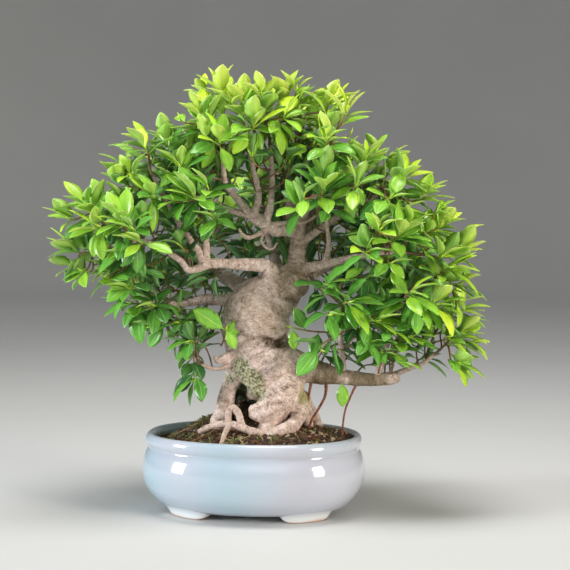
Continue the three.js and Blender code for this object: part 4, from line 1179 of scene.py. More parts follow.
class GrowthPlan:
    """Where every shoot and leaf stands, worked out in the order and with the draws of the model."""

    def __init__(self) -> None:
        """Grow all shoots, and then the leaves of first shoots and of second ones."""
        wood = [TRUNK, *ROOTS.values(), *LIMBS.values(), *STUBS.values()]
        self.obstacles = np.vstack([beads_along(points) for points in wood])
        self.tips = [np.array(tip, dtype=float) for _, *ends in SPRAYS for tip in ends if tip]
        self.taken: dict[str, list[Array]] = {name: [] for name in LIMBS}
        self.room = LeafRoom()
        self.sprays: list[list[Shoot]] = []
        self.grow_shoots()
        for which, count, start in ((0, MAIN_LEAVES, LEAFY_FROM_MAIN), (1, SIDE_LEAVES, LEAFY_FROM_SIDE)):
            for spray in self.sprays:
                self.grow_leaves(spray[which], count, start)

    def clear_shoot(self, start: Array, heading: Array, tip: Array, base_radius: float, seed: int) -> Shoot:
        """The first of several bends that keeps a shoot clear, or else the one with the most room.

        Args:
            start: where it leaves the limb.
            heading: unit direction there.
            tip: where it ends.
            base_radius: radius at its start.
            seed: its number.
        Returns:
            The shoot.
        """
        straight = Shoot(start, heading, tip, np.zeros(3), base_radius, seed)
        best, best_room = straight, -math.inf
        for trial in range(BEND_TRIALS):
            size = 0.0 if trial == 0 else (0.3 if trial > 6 else 0.16) * float(norm(tip - start))
            bend = straight.outward(0.5, trial * math.pi / 3) * size
            shoot = Shoot(start, heading, tip, bend, base_radius, seed)
            room = clearance(shoot.beads(CLEAR_FROM), self.obstacles)
            if room > best_room:
                best, best_room = shoot, room
            if room >= SHOOT_CLEARANCE:
                break
        return best

    def seat_on(self, name: str, tip: Array) -> tuple[Array, Array, float]:
        """Where a shoot leaves its limb: the first one carries the limb's end on, the others leave its side.

        Args:
            name: the limb.
            tip: the shoot's tip.
        Returns:
            The shoot's start, heading and radius there.
        """
        limb, taken = LIMBS[name], self.taken[name]
        centre, tangent, radius = point_on(limb, 1.0)
        if not taken and radius < THICKEST_LIVE_END:
            taken.append(centre)
            return centre + tangent * (GAP + 0.05), tangent, min(SHOOT_BASE_RADIUS, radius)
        nearest, reach = None, math.inf
        for step in range(SEAT_STEPS + 1):
            place = point_on(limb, SEAT_FROM + (SEAT_TO - SEAT_FROM) * step / SEAT_STEPS)
            crowded = any(norm(other - place[0]) < SEAT_SPACING for other in taken)
            distance = float(norm(place[0] - tip))
            if not crowded and distance < reach:
                nearest, reach = place, distance
        centre, tangent, radius = nearest
        taken.append(centre)
        outward = unit(off_axis(tip - centre, tangent))
        seat = centre + outward * (radius + GAP)
        return seat, unit(outward + 0.6 * tangent), min(SHOOT_BASE_RADIUS, 0.8 * radius)

    def widest_tip(self, main: Shoot) -> Array:
        """The tip of a second shoot, at an angle to the first, where the other tips leave the most room.

        Args:
            main: the first shoot.
        Returns:
            The second shoot's tip.
        """
        fork, tangent = main.centre(FORK_AT), main.tangent(FORK_AT)
        reach = min(max(0.6 * main.length, SIDE_REACH[0]), SIDE_REACH[1])
        best, best_room = None, -math.inf
        for trial in range(8):
            outward = main.outward(FORK_AT, trial * math.pi / 4)
            tip = fork + tangent * (reach * math.cos(SIDE_SPREAD)) + outward * (reach * math.sin(SIDE_SPREAD))
            room = min(float(norm(other - tip)) for other in self.tips)
            if room > best_room:
                best, best_room = tip, room
        return best

    def grow_shoots(self) -> None:
        """Place the first shoots of all sprays, then their second shoots."""
        for i, (name, end, _) in enumerate(SPRAYS):
            tip = np.array(end, dtype=float)
            start, heading, radius = self.seat_on(name, tip)
            main = self.clear_shoot(start, heading, tip, radius, 2 * i)
            self.obstacles = np.vstack([self.obstacles, main.beads(0.0)])
            self.sprays.append([main])
        for i, (spray, (_, _, second)) in enumerate(zip(self.sprays, SPRAYS)):
            main = spray[0]
            tip = np.array(second, dtype=float) if second else self.widest_tip(main)
            if not second:
                self.tips.append(tip)
            fork, tangent = main.centre(FORK_AT), main.tangent(FORK_AT)
            heading = unit(unit(off_axis(tip - fork, tangent)) + tangent)
            side = self.clear_shoot(fork, heading, tip, 0.85 * float(main.radius(FORK_AT)), 2 * i + 1)
            spray.append(side)
            self.obstacles = np.vstack([self.obstacles, side.beads(CLEAR_FROM)])

    def place_leaf(
        self, shoot: Shoot, fraction: float, angle: float, spread: float, size: float, picks: list[float],
        clearance: Clearance,
    ) -> bool:
        """Place one leaf the first way that fits.

        Args:
            shoot: what it grows from.
            fraction: where along the shoot, 1 for the leaf that ends it.
            angle: which way round it, in radians.
            spread: angle to the shoot in degrees.
            size: share of the full length.
            picks: draws for its length, slenderness and droop.
            clearance: how clear of the others and of wood.
        Returns:
            Whether it was placed.
        """
        for turn, lift, scale in LEAF_TRIALS:
            lean = math.radians(spread + lift)
            outward = shoot.outward(fraction, angle + math.radians(turn))
            direction = unit(shoot.tangent(fraction) * math.cos(lean) + outward * math.sin(lean))
            leaf = Leaf(shoot, fraction, angle, direction, picks, size * scale)
            beads = leaf.beads()
            low = beads[:, 2].min() <= LOWEST_LEAF
            if not low and self.room.fits(beads, shoot.seed, self.obstacles, clearance):
                self.room.keep(beads, shoot.seed)
                shoot.leaves.append(leaf)
                return True
        return False

    def grow_leaves(self, shoot: Shoot, count: int, start: float) -> None:
        """Place a shoot's leaves up its side at the golden angle, and one that ends it.

        Args:
            shoot: what they grow from.
            count: how many grow up its side.
            start: share of its length from which they do.
        """
        draw = Draws(shoot.seed)
        phase = 2 * math.pi * draw()
        shoot.phase = phase
        for i in range(count + 1):
            at_side = (start + (LEAFY_TO - start) * i / (count - 1), between(LEAF_SPREAD, i / count), 1.0)
            fraction, spread, size = at_side if i < count else END_LEAF
            picks = [draw(), draw(), draw()]
            angle = phase + i * GOLDEN_ANGLE
            self.place_leaf(shoot, fraction, angle, spread, size, picks, Clearance.AS_PACKED)


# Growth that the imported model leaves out

# Further leaves of a shoot: share of its length, angle to it in degrees, size.
MORE_ON_MAIN = (
    (0.985, 22, 0.88), (0.96, 36, 0.94), (0.88, 42, 0.98), (0.8, 46, 1.0), (0.72, 50, 1.0), (0.63, 54, 0.98),
    (0.55, 58, 0.94), (0.46, 62, 0.88), (0.36, 66, 0.82),
)
MORE_ON_SIDE = (
    (0.985, 24, 0.86), (0.94, 38, 0.92), (0.84, 46, 0.96), (0.74, 51, 0.92), (0.62, 56, 0.88),
    (0.5, 62, 0.82),
)
ON_TWIGLET = ((1.0, 12, 0.8), (0.95, 42, 0.82), (0.82, 50, 0.86), (0.68, 56, 0.86), (0.52, 64, 0.8))
ON_INNER = ((1.0, 12, 0.74), (0.93, 44, 0.8), (0.78, 52, 0.84), (0.62, 60, 0.84), (0.46, 66, 0.8))
TWIGLETS_FROM = (0.24, 0.36, 0.62, 0.78)
TWIGLET_LENGTH = (20.0, 27.0)
TWIGLET_SPREAD = math.radians(58)
TWIGLET_RADIUS = 0.95
INNER_STEP = 6.5
INNER_FROM = 22.0
INNER_LENGTH = (17.0, 36.0)
INNER_BACKWARD = 0.55
PAST_THE_MODEL = 5.0
CROWN_MIDDLE = np.array([10.0, 5.0, 285.0])
CROWN_REACH = np.array([190.0, 130.0, 130.0])
# Ages and painted light: how much light comes with each share of the crown's reach, how far that paints a
# leaf paler, and how its place on a shoot makes it younger; unlit leaves keep the dark end as painted shade.
LIT_OUTWARD, LIT_UPWARD, LIT_RIGHTWARD = 0.68, 0.2, 0.13
OLDEST_IN_SHADE, LIT_PALER, TIP_YOUNGER, AGE_SPREAD = 1.06, 0.84, 0.3, 0.42
# Gaps in the crown's outline, seen from the front, that no further leaf may fill: ranges of x and z.
OUTLINE_GAPS = (
    ((-130.0, -92.0), (386.0, 440.0)), ((-92.0, -76.0), (398.0, 440.0)), ((94.0, 160.0), (380.0, 440.0)),
    ((80.0, 94.0), (376.0, 398.0)), ((-210.0, -130.0), (90.0, 222.0)), ((-130.0, -88.0), (90.0, 178.0)),
    ((-44.0, 0.0), (90.0, 166.0)), ((30.0, 66.0), (90.0, 172.0)), ((66.0, 240.0), (90.0, 134.0)),
)
# Leaves that the eye picks out: a twig's start and tip, and for each leaf where along it that sits, its
# direction, length and age. They hang below the low limb, in front of the trunk's left side and by its waist.
SINGLED_OUT = (
    ((87, -15, 137), (87.2, -17, 133.5), ((1.0, (0.05, -0.3, -1.0), 25, 0.45),)),
    ((-33, -14, 168), (-27, -38, 186),
     ((0.95, (-30, -5, 22), 38, 0.5), (0.5, (20, -5, 21), 28, 0.45), (1.0, (9, -7, -17), 21, 0.45))),
    ((85, -24, 184), (37, -29, 188),
     ((1.0, (0.15, -0.25, -1.0), 22, 0.4), (0.72, (-0.35, -0.5, 0.8), 27, 0.6),
      (0.45, (-0.2, -0.6, -0.8), 27, 0.7))),
)
TWIG_SAG = 3.0
# The opening at the front through which the limbs show, and how far back leaves have to be there.
FRONT_OPENING = ((-34.0, 58.0), (222.0, 332.0))
BEHIND_THE_LIMBS = 16.0


def inside(points: Array, box: tuple) -> Array:
    """Which points lie in a range of x and a range of z.

    Args:
        points: places, one row each.
        box: the two ranges.
    Returns:
        True for each point inside.
    """
    (left, right), (low, high) = box
    return (points[:, 0] > left) & (points[:, 0] < right) & (points[:, 2] > low) & (points[:, 2] < high)


class FullGrowth(GrowthPlan):
    """The model's shoots and leaves, and the further leaves and twigs that fill the crown between them."""

    def __init__(self, tree: TreeFrame) -> None:
        """Grow what the model has, then the rest, and give ages and painted light.

        Args:
            tree: the tree's frame.
        """
        super().__init__()
        self.tree = tree
        self.low, self.high = in_millimetres(CAD_BOX)
        self.twiglets: list[list[Shoot]] = [[] for _ in self.sprays]
        self.inner: list[Shoot] = []
        for which, slots, first in ((0, MORE_ON_MAIN, MAIN_LEAVES), (1, MORE_ON_SIDE, SIDE_LEAVES)):
            for spray in self.sprays:
                self.add_leaves(spray[which], slots, first, Clearance.BETWEEN_THEM)
        for number, (main, _) in enumerate(self.sprays):
            self.add_twiglets(number, main)
        for number, name in enumerate(LIMBS):
            self.add_inner(number, name)
        for shoot in [shoot for shoots in self.all_shoots() for shoot in shoots]:
            self.give_ages_and_light(shoot, 0.0)
        # Leaves of inner twigs count older and darker: painted shade inside the crown.
        for shoot in self.inner:
            self.give_ages_and_light(shoot, 0.3)
        self.add_singled_out()

    def all_shoots(self) -> list[list[Shoot]]:
        """Every shoot of each spray."""
        return [spray + twiglets for spray, twiglets in zip(self.sprays, self.twiglets)]

    def add_leaves(self, shoot: Shoot, slots: tuple, first: int, clearance: Clearance) -> None:
        """Further leaves of a shoot, on round its stem at the golden angle.

        Args:
            shoot: what they grow from.
            slots: share of its length, angle to it and size of each.
            first: how many leaves the angle has passed already.
            clearance: how clear of the others and of wood.
        """
        draw = Draws(1000 + shoot.seed)
        for i, (fraction, spread, size) in enumerate(slots):
            picks = [draw(), draw(), draw()]
            angle = shoot.phase + (first + 1 + i) * GOLDEN_ANGLE + 0.5
            size = size * (0.88 + 0.12 * draw())
            placed = self.place_leaf(shoot, fraction, angle, spread, size, picks, clearance)
            if placed and any(inside(shoot.leaves[-1].beads(), gap).any() for gap in OUTLINE_GAPS):
                shoot.leaves.pop()

    def add_twiglets(self, number: int, main: Shoot) -> None:
        """Short twiglets off a first shoot, with leaves of their own.

        Args:
            number: which spray.
            main: its first shoot.
        """
        draw = Draws(2000 + main.seed)
        for i, fraction in enumerate(TWIGLETS_FROM):
            fork, tangent = main.centre(fraction), main.tangent(fraction)
            outward = main.outward(fraction, main.phase + 1.2 + 2.4 * i)
            length = between(TWIGLET_LENGTH, draw())
            tip = fork + length * (tangent * math.cos(TWIGLET_SPREAD) + outward * math.sin(TWIGLET_SPREAD))
            seed = 3000 + 8 * number + i
            twiglet = self.clear_shoot(fork, unit(outward + tangent), tip, TWIGLET_RADIUS, seed)
            twiglet.phase = 2 * math.pi * draw()
            self.add_leaves(twiglet, ON_TWIGLET, 0, Clearance.BETWEEN_THEM)
            if twiglet.leaves:
                self.twiglets[number].append(twiglet)

    def add_inner(self, number: int, name: str) -> None:
        """Twigs with old leaves along a limb, most of them up and back, out of the front opening.

        Args:
            number: which limb.
            name: its name.
        """
        points = LIMBS[name]
        total = float(length_before(np.array(points, dtype=float)[:, :3])[-1])
        draw = Draws(7000 + number)
        for i in range(int((total - INNER_FROM) / INNER_STEP)):
            centre, tangent, radius = point_on(points, (INNER_FROM + (i + draw()) * INNER_STEP) / total)
            wish = np.array([2 * draw() - 1, 2 * draw() - 1 + INNER_BACKWARD, 2 * draw() - 0.7])
            outward = unit(off_axis(wish, tangent))
            start = centre + outward * (0.7 * radius)
            length = radius + between(INNER_LENGTH, draw())
            heading = unit(outward + 0.5 * tangent)
            seed = 8000 + 40 * number + i
            twig = self.clear_shoot(start, outward, start + length * heading, TWIGLET_RADIUS, seed)
            twig.phase = 2 * math.pi * draw()
            self.add_leaves(twig, ON_INNER, 0, Clearance.ON_INNER_TWIGS)
            kept = [leaf for leaf in twig.leaves if self.leaves_views_open(leaf.beads())]
            if len(kept) > 1:
                twig.leaves = kept
                self.inner.append(twig)

    def add_singled_out(self) -> None:
        """The leaves that stand out, turned to face forward and a little up."""
        for number, (start, tip, leaves) in enumerate(SINGLED_OUT):
            start, tip = np.array(start, dtype=float), np.array(tip, dtype=float)
            twig = Shoot(start, unit(tip - start), tip, np.zeros(3), TWIGLET_RADIUS, 9001 + number)
            sag = np.outer([0.0, 1.0, 1.0, 0.0], UP) * TWIG_SAG
            twig.nodes = start + np.outer([0.0, 0.35, 0.65, 1.0], tip - start) - sag
            for share, direction, length, age in leaves:
                leaf = Leaf(twig, 1.0, 0.0, unit(np.array(direction, dtype=float)), [0.5, 0.5, 0.4], 1.0)
                leaf.fraction, leaf.base = share, twig.centre(share)
                leaf.length, leaf.half_width = length, LEAF_SLENDERNESS[1] * length
                leaf.age, leaf.wave = age, 0.4
                leaf.normal = unit(off_axis(np.array([0.1, -1.0, 0.35]), leaf.direction))
                leaf.across = np.cross(leaf.normal, leaf.direction)
                twig.leaves.append(leaf)
            self.inner.append(twig)

    def leaves_views_open(self, beads: Array) -> bool:
        """Whether an inner leaf stays in the model's box and out of the front opening.

        Args:
            beads: the leaf's beads.
        Returns:
            True where it may stay.
        """
        placed = self.tree.place(beads)
        if not ((placed > self.low - PAST_THE_MODEL).all() and (placed < self.high + PAST_THE_MODEL).all()):
            return False
        return not (inside(beads, FRONT_OPENING) & (beads[:, 1] < BEHIND_THE_LIMBS)).any()

    def give_ages_and_light(self, shoot: Shoot, older_in_shade: float) -> None:
        """An age for each leaf, from 0 for new to 1 for old: younger at a shoot's tip, and painted paler out
        on the crown's lit outside, top and right and darker inside, as painted light and shade.

        Args:
            shoot: whose leaves.
            older_in_shade: added to the age of each, which darkens them as painted shade.
        """
        draw = Draws(5000 + shoot.seed)
        for leaf in shoot.leaves:
            right, back, up = (float(part) for part in (leaf.base - CROWN_MIDDLE) / CROWN_REACH)
            outward = math.hypot(float(np.hypot(right, back)), max(0.0, up))
            lit = LIT_OUTWARD * outward + LIT_UPWARD * up + LIT_RIGHTWARD * right
            # Painted light: the more light a leaf's place gets, the paler it is; where it gets little,
            # painted shade.
            age = OLDEST_IN_SHADE - LIT_PALER * lit - TIP_YOUNGER * leaf.fraction**3
            age = age + AGE_SPREAD * (draw() - 0.5) + older_in_shade
            leaf.age = float(np.clip(age, 0.0, 1.0))
            leaf.wave = draw()


# Leaf surface: rings of six points, from the right edge over the top to the left edge and under the midrib.
LEAF_STATIONS = np.array([0.0, 0.11, 0.18, 0.3, 0.45, 0.62, 0.78, 0.91, 1.0])
PETIOLE_TO = 0.12
RING_SIDES = 6
RING_ACROSS = np.array([1.0, 0.5, 0.0, -0.5, -1.0, 0.0])
RING_HEIGHT = np.array([0.0, 0.9, 0.55, 0.9, 0.0, -1.0])
PETIOLE_ANGLES = np.radians([0.0, 60.0, 90.0, 120.0, 180.0, 270.0])
PETIOLE_RADIUS = 0.55
BLADE_HALF_THICKNESS = 0.22
BLADE_FORWARD = 1.03
BLADE_BLUNTNESS = 0.8
BLADE_WIDER = 1.04
LEAST_HALF_WIDTH = 0.12
EDGE_RIPPLE = 0.4
EDGE_WAVES = 1.6
BLADE_SWAY = 0.35
TOP_SIDES = (0, 1, 2, 3)
UNDER_SIDES = (4, 5)


def leaf_surfaces(leaves: list[Leaf]) -> tuple[Array, list[Array], list[Array], Array, Array]:
    """Closed surfaces of many leaves at once.

    A leaf's middle line runs straight along its direction and falls off as the square of the way along. Its
    half width is the sine of pi times the share of the blade to a power, and that sine to a power again,
    which makes it broadest past its middle and blunt at its tip. Both halves rise from the midrib, and the
    edge waves along the leaf.

    Args:
        leaves: the leaves, in the tree's frame.
    Returns:
        Vertices, upper faces, under faces, a pattern place (across, along) and an age with painted light for
        each vertex.
    """
    count, rows = len(leaves), len(LEAF_STATIONS)
    base, direction, normal, across = (
        np.array([getattr(leaf, key) for leaf in leaves])[:, None, None, :]
        for key in ("base", "direction", "normal", "across")
    )
    length, half_width, droop, age, wave = (
        np.array([getattr(leaf, key) for leaf in leaves])[:, None, None]
        for key in ("length", "half_width", "droop", "age", "wave")
    )
    along = LEAF_STATIONS[None, :, None]
    blade = np.clip((along - PETIOLE_TO) / (1 - PETIOLE_TO), 0.0, 1.0)
    bowed = np.maximum(np.sin(math.pi * blade**BLADE_FORWARD), 0.0) ** BLADE_BLUNTNESS
    width = bowed * half_width * BLADE_WIDER + LEAST_HALF_WIDTH
    stalk = 1.0 - smoothstep(PETIOLE_TO - 0.01, PETIOLE_TO + 0.07, along)
    side = RING_ACROSS * width * (1 - stalk) + PETIOLE_RADIUS * np.cos(PETIOLE_ANGLES) * stalk
    fold = LEAF_FOLD * (0.7 + 0.9 * wave) * np.abs(side)
    waves = np.sin(2 * math.pi * (EDGE_WAVES * along + 3 * wave))
    ripple = EDGE_RIPPLE * waves * RING_ACROSS**2 * np.sign(RING_ACROSS + 0.01)
    height = (1 - stalk) * (BLADE_HALF_THICKNESS * RING_HEIGHT + fold + ripple * np.sin(math.pi * blade))
    height = height + stalk * PETIOLE_RADIUS * np.sin(PETIOLE_ANGLES) - droop * length * along**2
    sway = (wave - 0.5) * BLADE_SWAY * length * (along**2 - along) * (1 - stalk)
    places = base + direction * (along * length)[..., None] + normal * height[..., None]
    places = places + across * (side + sway)[..., None]
    faces, first_cap, last_cap = tube_faces(rows, RING_SIDES)
    faces = faces.reshape(rows - 1, RING_SIDES, 4)
    quads = (faces[:, sides].reshape(-1, 4) for sides in (TOP_SIDES, UNDER_SIDES))
    top, under, caps = (
        repeated(block, count, rows * RING_SIDES) for block in (*quads, np.vstack([first_cap, last_cap]))
    )
    uv = np.stack(np.broadcast_arrays(RING_ACROSS[None, None, :], along + 0 * wave), axis=-1).reshape(-1, 2)
    ages_and_light = np.broadcast_to(age, (count, rows, RING_SIDES)).reshape(-1)
    return places.reshape(-1, 3), [top], [under, caps], uv, ages_and_light


def sweep(centres: Array, radii: Array, sides: int) -> tuple[Array, list[Array]]:
    """A closed tube: circles of the given radii square to a path.

    Args:
        centres: points of the path.
        radii: the radius at each.
        sides: vertices in each ring.
    Returns:
        Vertices and faces.
    """
    _, across, along = carried_frames(centres)
    angles = np.linspace(0.0, 2 * math.pi, sides, endpoint=False)
    cosine, sine = np.cos(angles)[None, :, None], np.sin(angles)[None, :, None]
    circle = across[:, None, :] * cosine + along[:, None, :] * sine
    rings = centres[:, None, :] + circle * np.asarray(radii)[:, None, None]
    return rings.reshape(-1, 3), tube_faces(len(centres), sides)


@dataclass
class Foliage:
    """The leafy sprays: one piece for each spray node, of shoots, buds and leaves."""

    tree: TreeFrame
    growth: FullGrowth
    stem_rings: int = 15
    stem_sides: int = 6
    sunk: float = 1.6
    node_swell: float = 0.09
    node_turns: float = 4.5
    flare: float = 1.25
    bud_sides: int = 5
    # A bud starts inside the stem; its profile gives shares of its length, and of its radius there.
    bud_start: float = -0.5
    bud_length: float = 7.0
    bud_radius: float = 0.95
    bud_profile: tuple[Pair, ...] = ((0.0, 0.8), (0.35, 1.0), (0.7, 0.6), (1.0, 0.08))

    def build(self) -> list[Object]:
        """Make every spray and let it stand for its node.

        Returns:
            The new objects.
        """
        materials = [BanyanLeaf().material(), BanyanLeafUnderside().material(), YoungShoot().material()]
        made = []
        for number, shoots in enumerate(self.growth.all_shoots(), start=1):
            thing = self.piece(f"leafy_spray_{number:02d}", shoots, materials)
            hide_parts(f"spray_{number:02d}")
            made.append(thing)
        made.append(self.piece("inner_twigs", self.growth.inner, materials))
        return made

    def piece(self, name: str, shoots: list[Shoot], materials: list[Material]) -> Object:
        """Stems and leaves of some shoots as one object that rides with the tree.

        Args:
            name: the object's name.
            shoots: the shoots, of which only the first may start on a limb.
            materials: for upper sides, undersides and stems.
        Returns:
            The new object.
        """
        parts = MeshParts()
        for shoot in shoots:
            self.add_stem(parts, shoot, shoot is shoots[0])
        leaves = [leaf for shoot in shoots for leaf in shoot.leaves]
        places, top, under, uv, ages_and_light = leaf_surfaces(leaves)
        parts.add(self.tree.place(places), top, 0, uv, age=ages_and_light)
        parts.add_faces(under, 1, len(places))
        thing = parts.to_object(name, materials)
        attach(thing, ROOT_BODY)
        return thing

    def add_stem(self, parts: MeshParts, shoot: Shoot, from_limb: bool) -> None:
        """A shoot's stem, swollen a little where leaves sit, and the pointed bud that ends it.

        Args:
            parts: the mesh that it joins.
            shoot: the shoot.
            from_limb: whether it starts on a limb, and is sunk into it.
        """
        f = np.linspace(0.0, 1.0, self.stem_rings)
        centres = shoot.centre(f)
        radii = shoot.radius(f) * (1 + self.node_swell * np.cos(f * 2 * self.node_turns * math.pi))
        if from_limb:
            start = centres[0] - shoot.tangent(0.0) * self.sunk
            centres = np.vstack([start, centres])
            radii = np.concatenate([[radii[0] * self.flare], radii])
            f = np.concatenate([[0.0], f])
        vertices, faces = sweep(self.tree.place(centres), radii, self.stem_sides)
        # The stems' value is only their place along the shoot, with no light in it.
        parts.add(vertices, faces, 2, age=np.repeat(f, self.stem_sides))
        tip, tangent = shoot.centre(1.0), shoot.tangent(1.0)
        share, thick = np.array(self.bud_profile).T
        bud = tip + np.outer(share * self.bud_length + self.bud_start, tangent)
        vertices, faces = sweep(self.tree.place(bud), self.bud_radius * thick, self.bud_sides)
        parts.add(vertices, faces, 0, uv=np.full((len(vertices), 2), 0.5), age=0.05)


@dataclass
class LimbAxes:
    """Middle lines of all limbs, which give every place on the skin coordinates along and round its own limb.

    A row holds a point of a line, its radius, the directions along and square to the line there, and the
    length of line before it. Each limb's lengths start LIMB_APART on from the last limb's.
    """

    rows: Array
    block: int = 8000
    POINT: ClassVar[slice] = slice(0, 3)
    RADIUS: ClassVar[int] = 3
    DIRECTIONS: ClassVar[tuple[slice, ...]] = (slice(4, 7), slice(7, 10), slice(10, 13))
    GONE: ClassVar[int] = 13

    @staticmethod
    def of_paths(paths: list[Array]) -> "LimbAxes":
        """The middle lines of paths (x, y, z, radius) in the model's frame.

        Args:
            paths: one for each limb.
        Returns:
            The axes.
        """
        blocks = []
        for number, path in enumerate(paths):
            tangents, across, along = carried_frames(path[:, :3])
            gone = length_before(path[:, :3]) + LIMB_APART * number
            blocks.append(np.column_stack([path, tangents, across, along, gone]))
        return LimbAxes(np.vstack(blocks))

    def nearest(self, points: Array) -> Array:
        """The row whose distance, less its radius, is least for each place: |p|^2 + |c|^2 - 2pc under a root.

        Args:
            points: places, one row each.
        Returns:
            A row's number for each.
        """
        centres, radii = self.rows[:, self.POINT], self.rows[:, self.RADIUS]
        chosen = []
        for start in range(0, len(points), self.block):
            block = points[start : start + self.block]
            squares = (block**2).sum(axis=1)[:, None] + (centres**2).sum(axis=1) - 2 * block @ centres.T
            chosen.append((np.sqrt(np.maximum(squares, 0.0)) - radii).argmin(axis=1))
        return np.concatenate(chosen)

    def about(self, points: Array, index: Array) -> Array:
        """Length along a row's line to each place, and the two distances square to it.

        Args:
            points: places, one row each.
            index: a row's number for each.
        Returns:
            Three coordinates for each.
        """
        row = self.rows[index]
        off = points - row[:, self.POINT]
        spot = np.stack([(off * row[:, columns]).sum(axis=1) for columns in self.DIRECTIONS], axis=1)
        spot[:, 0] += row[:, self.GONE]
        return spot

    def coordinates(self, points: Array, chosen: Array) -> Array:
        """Coordinates about the nearest row, blended half and half with the next row's midway between them.

        Args:
            points: places, one row each.
            chosen: the number of the nearest row to each.
        Returns:
            Three coordinates for each.
        """
        row = self.rows[chosen]
        ahead = ((points - row[:, self.POINT]) * row[:, self.DIRECTIONS[0]]).sum(axis=1)
        other = np.clip(chosen + np.where(ahead > 0, 1, -1), 0, len(self.rows) - 1)
        apart = np.abs(self.rows[other, self.GONE] - row[:, self.GONE])
        same_limb = (apart < LIMB_APART / 2) & (other != chosen)
        weight = np.where(same_limb, np.clip(np.abs(ahead) / np.maximum(apart, 0.1), 0.0, 0.5), 0.0)[:, None]
        return self.about(points, chosen) * (1 - weight) + self.about(points, other) * weight


@dataclass(frozen=True)
class Patch:
    """A round patch of the bark: where it is in the tree's frame, how far it reaches and how strong it is."""

    at: Triple
    reach: float
    strength: float = 1.0
    RAGGEDNESS: ClassVar[float] = 0.22
    BLOTCHES: ClassVar[float] = 8.0
    FULL_TO: ClassVar[float] = 0.35

    def cover(self, points: Array, tree: TreeFrame) -> Array:
        """The patch's strength at each place, ragged by noise, from full inside a third of its reach to none.

        Args:
            points: places, one row each.
            tree: the tree's frame.
        Returns:
            A strength for each.
        """
        away = norm(points - tree.place(np.array(self.at)), axis=1)
        ragged = away + self.RAGGEDNESS * self.reach * noise(points, self.BLOTCHES, 71, 3)
        return self.strength * (1.0 - smoothstep(self.FULL_TO * self.reach, self.reach, ragged))


@dataclass(frozen=True)
class Layer:
    """One layer of relief: height and width of its waves, which noise, how many octaves, and its stretch.

    The stretch is how many times closer the waves stand along a limb, and how many times across it.
    """

    height: float
    width: float
    seed: int
    octaves: int
    closer: Pair = (1.0, 1.0)

    def at(self, places: Array) -> Array:
        """The layer's noise from -1 to 1 at each place."""
        along, across = self.closer
        return noise(places * np.array([along, across, across]), self.width, self.seed, self.octaves)


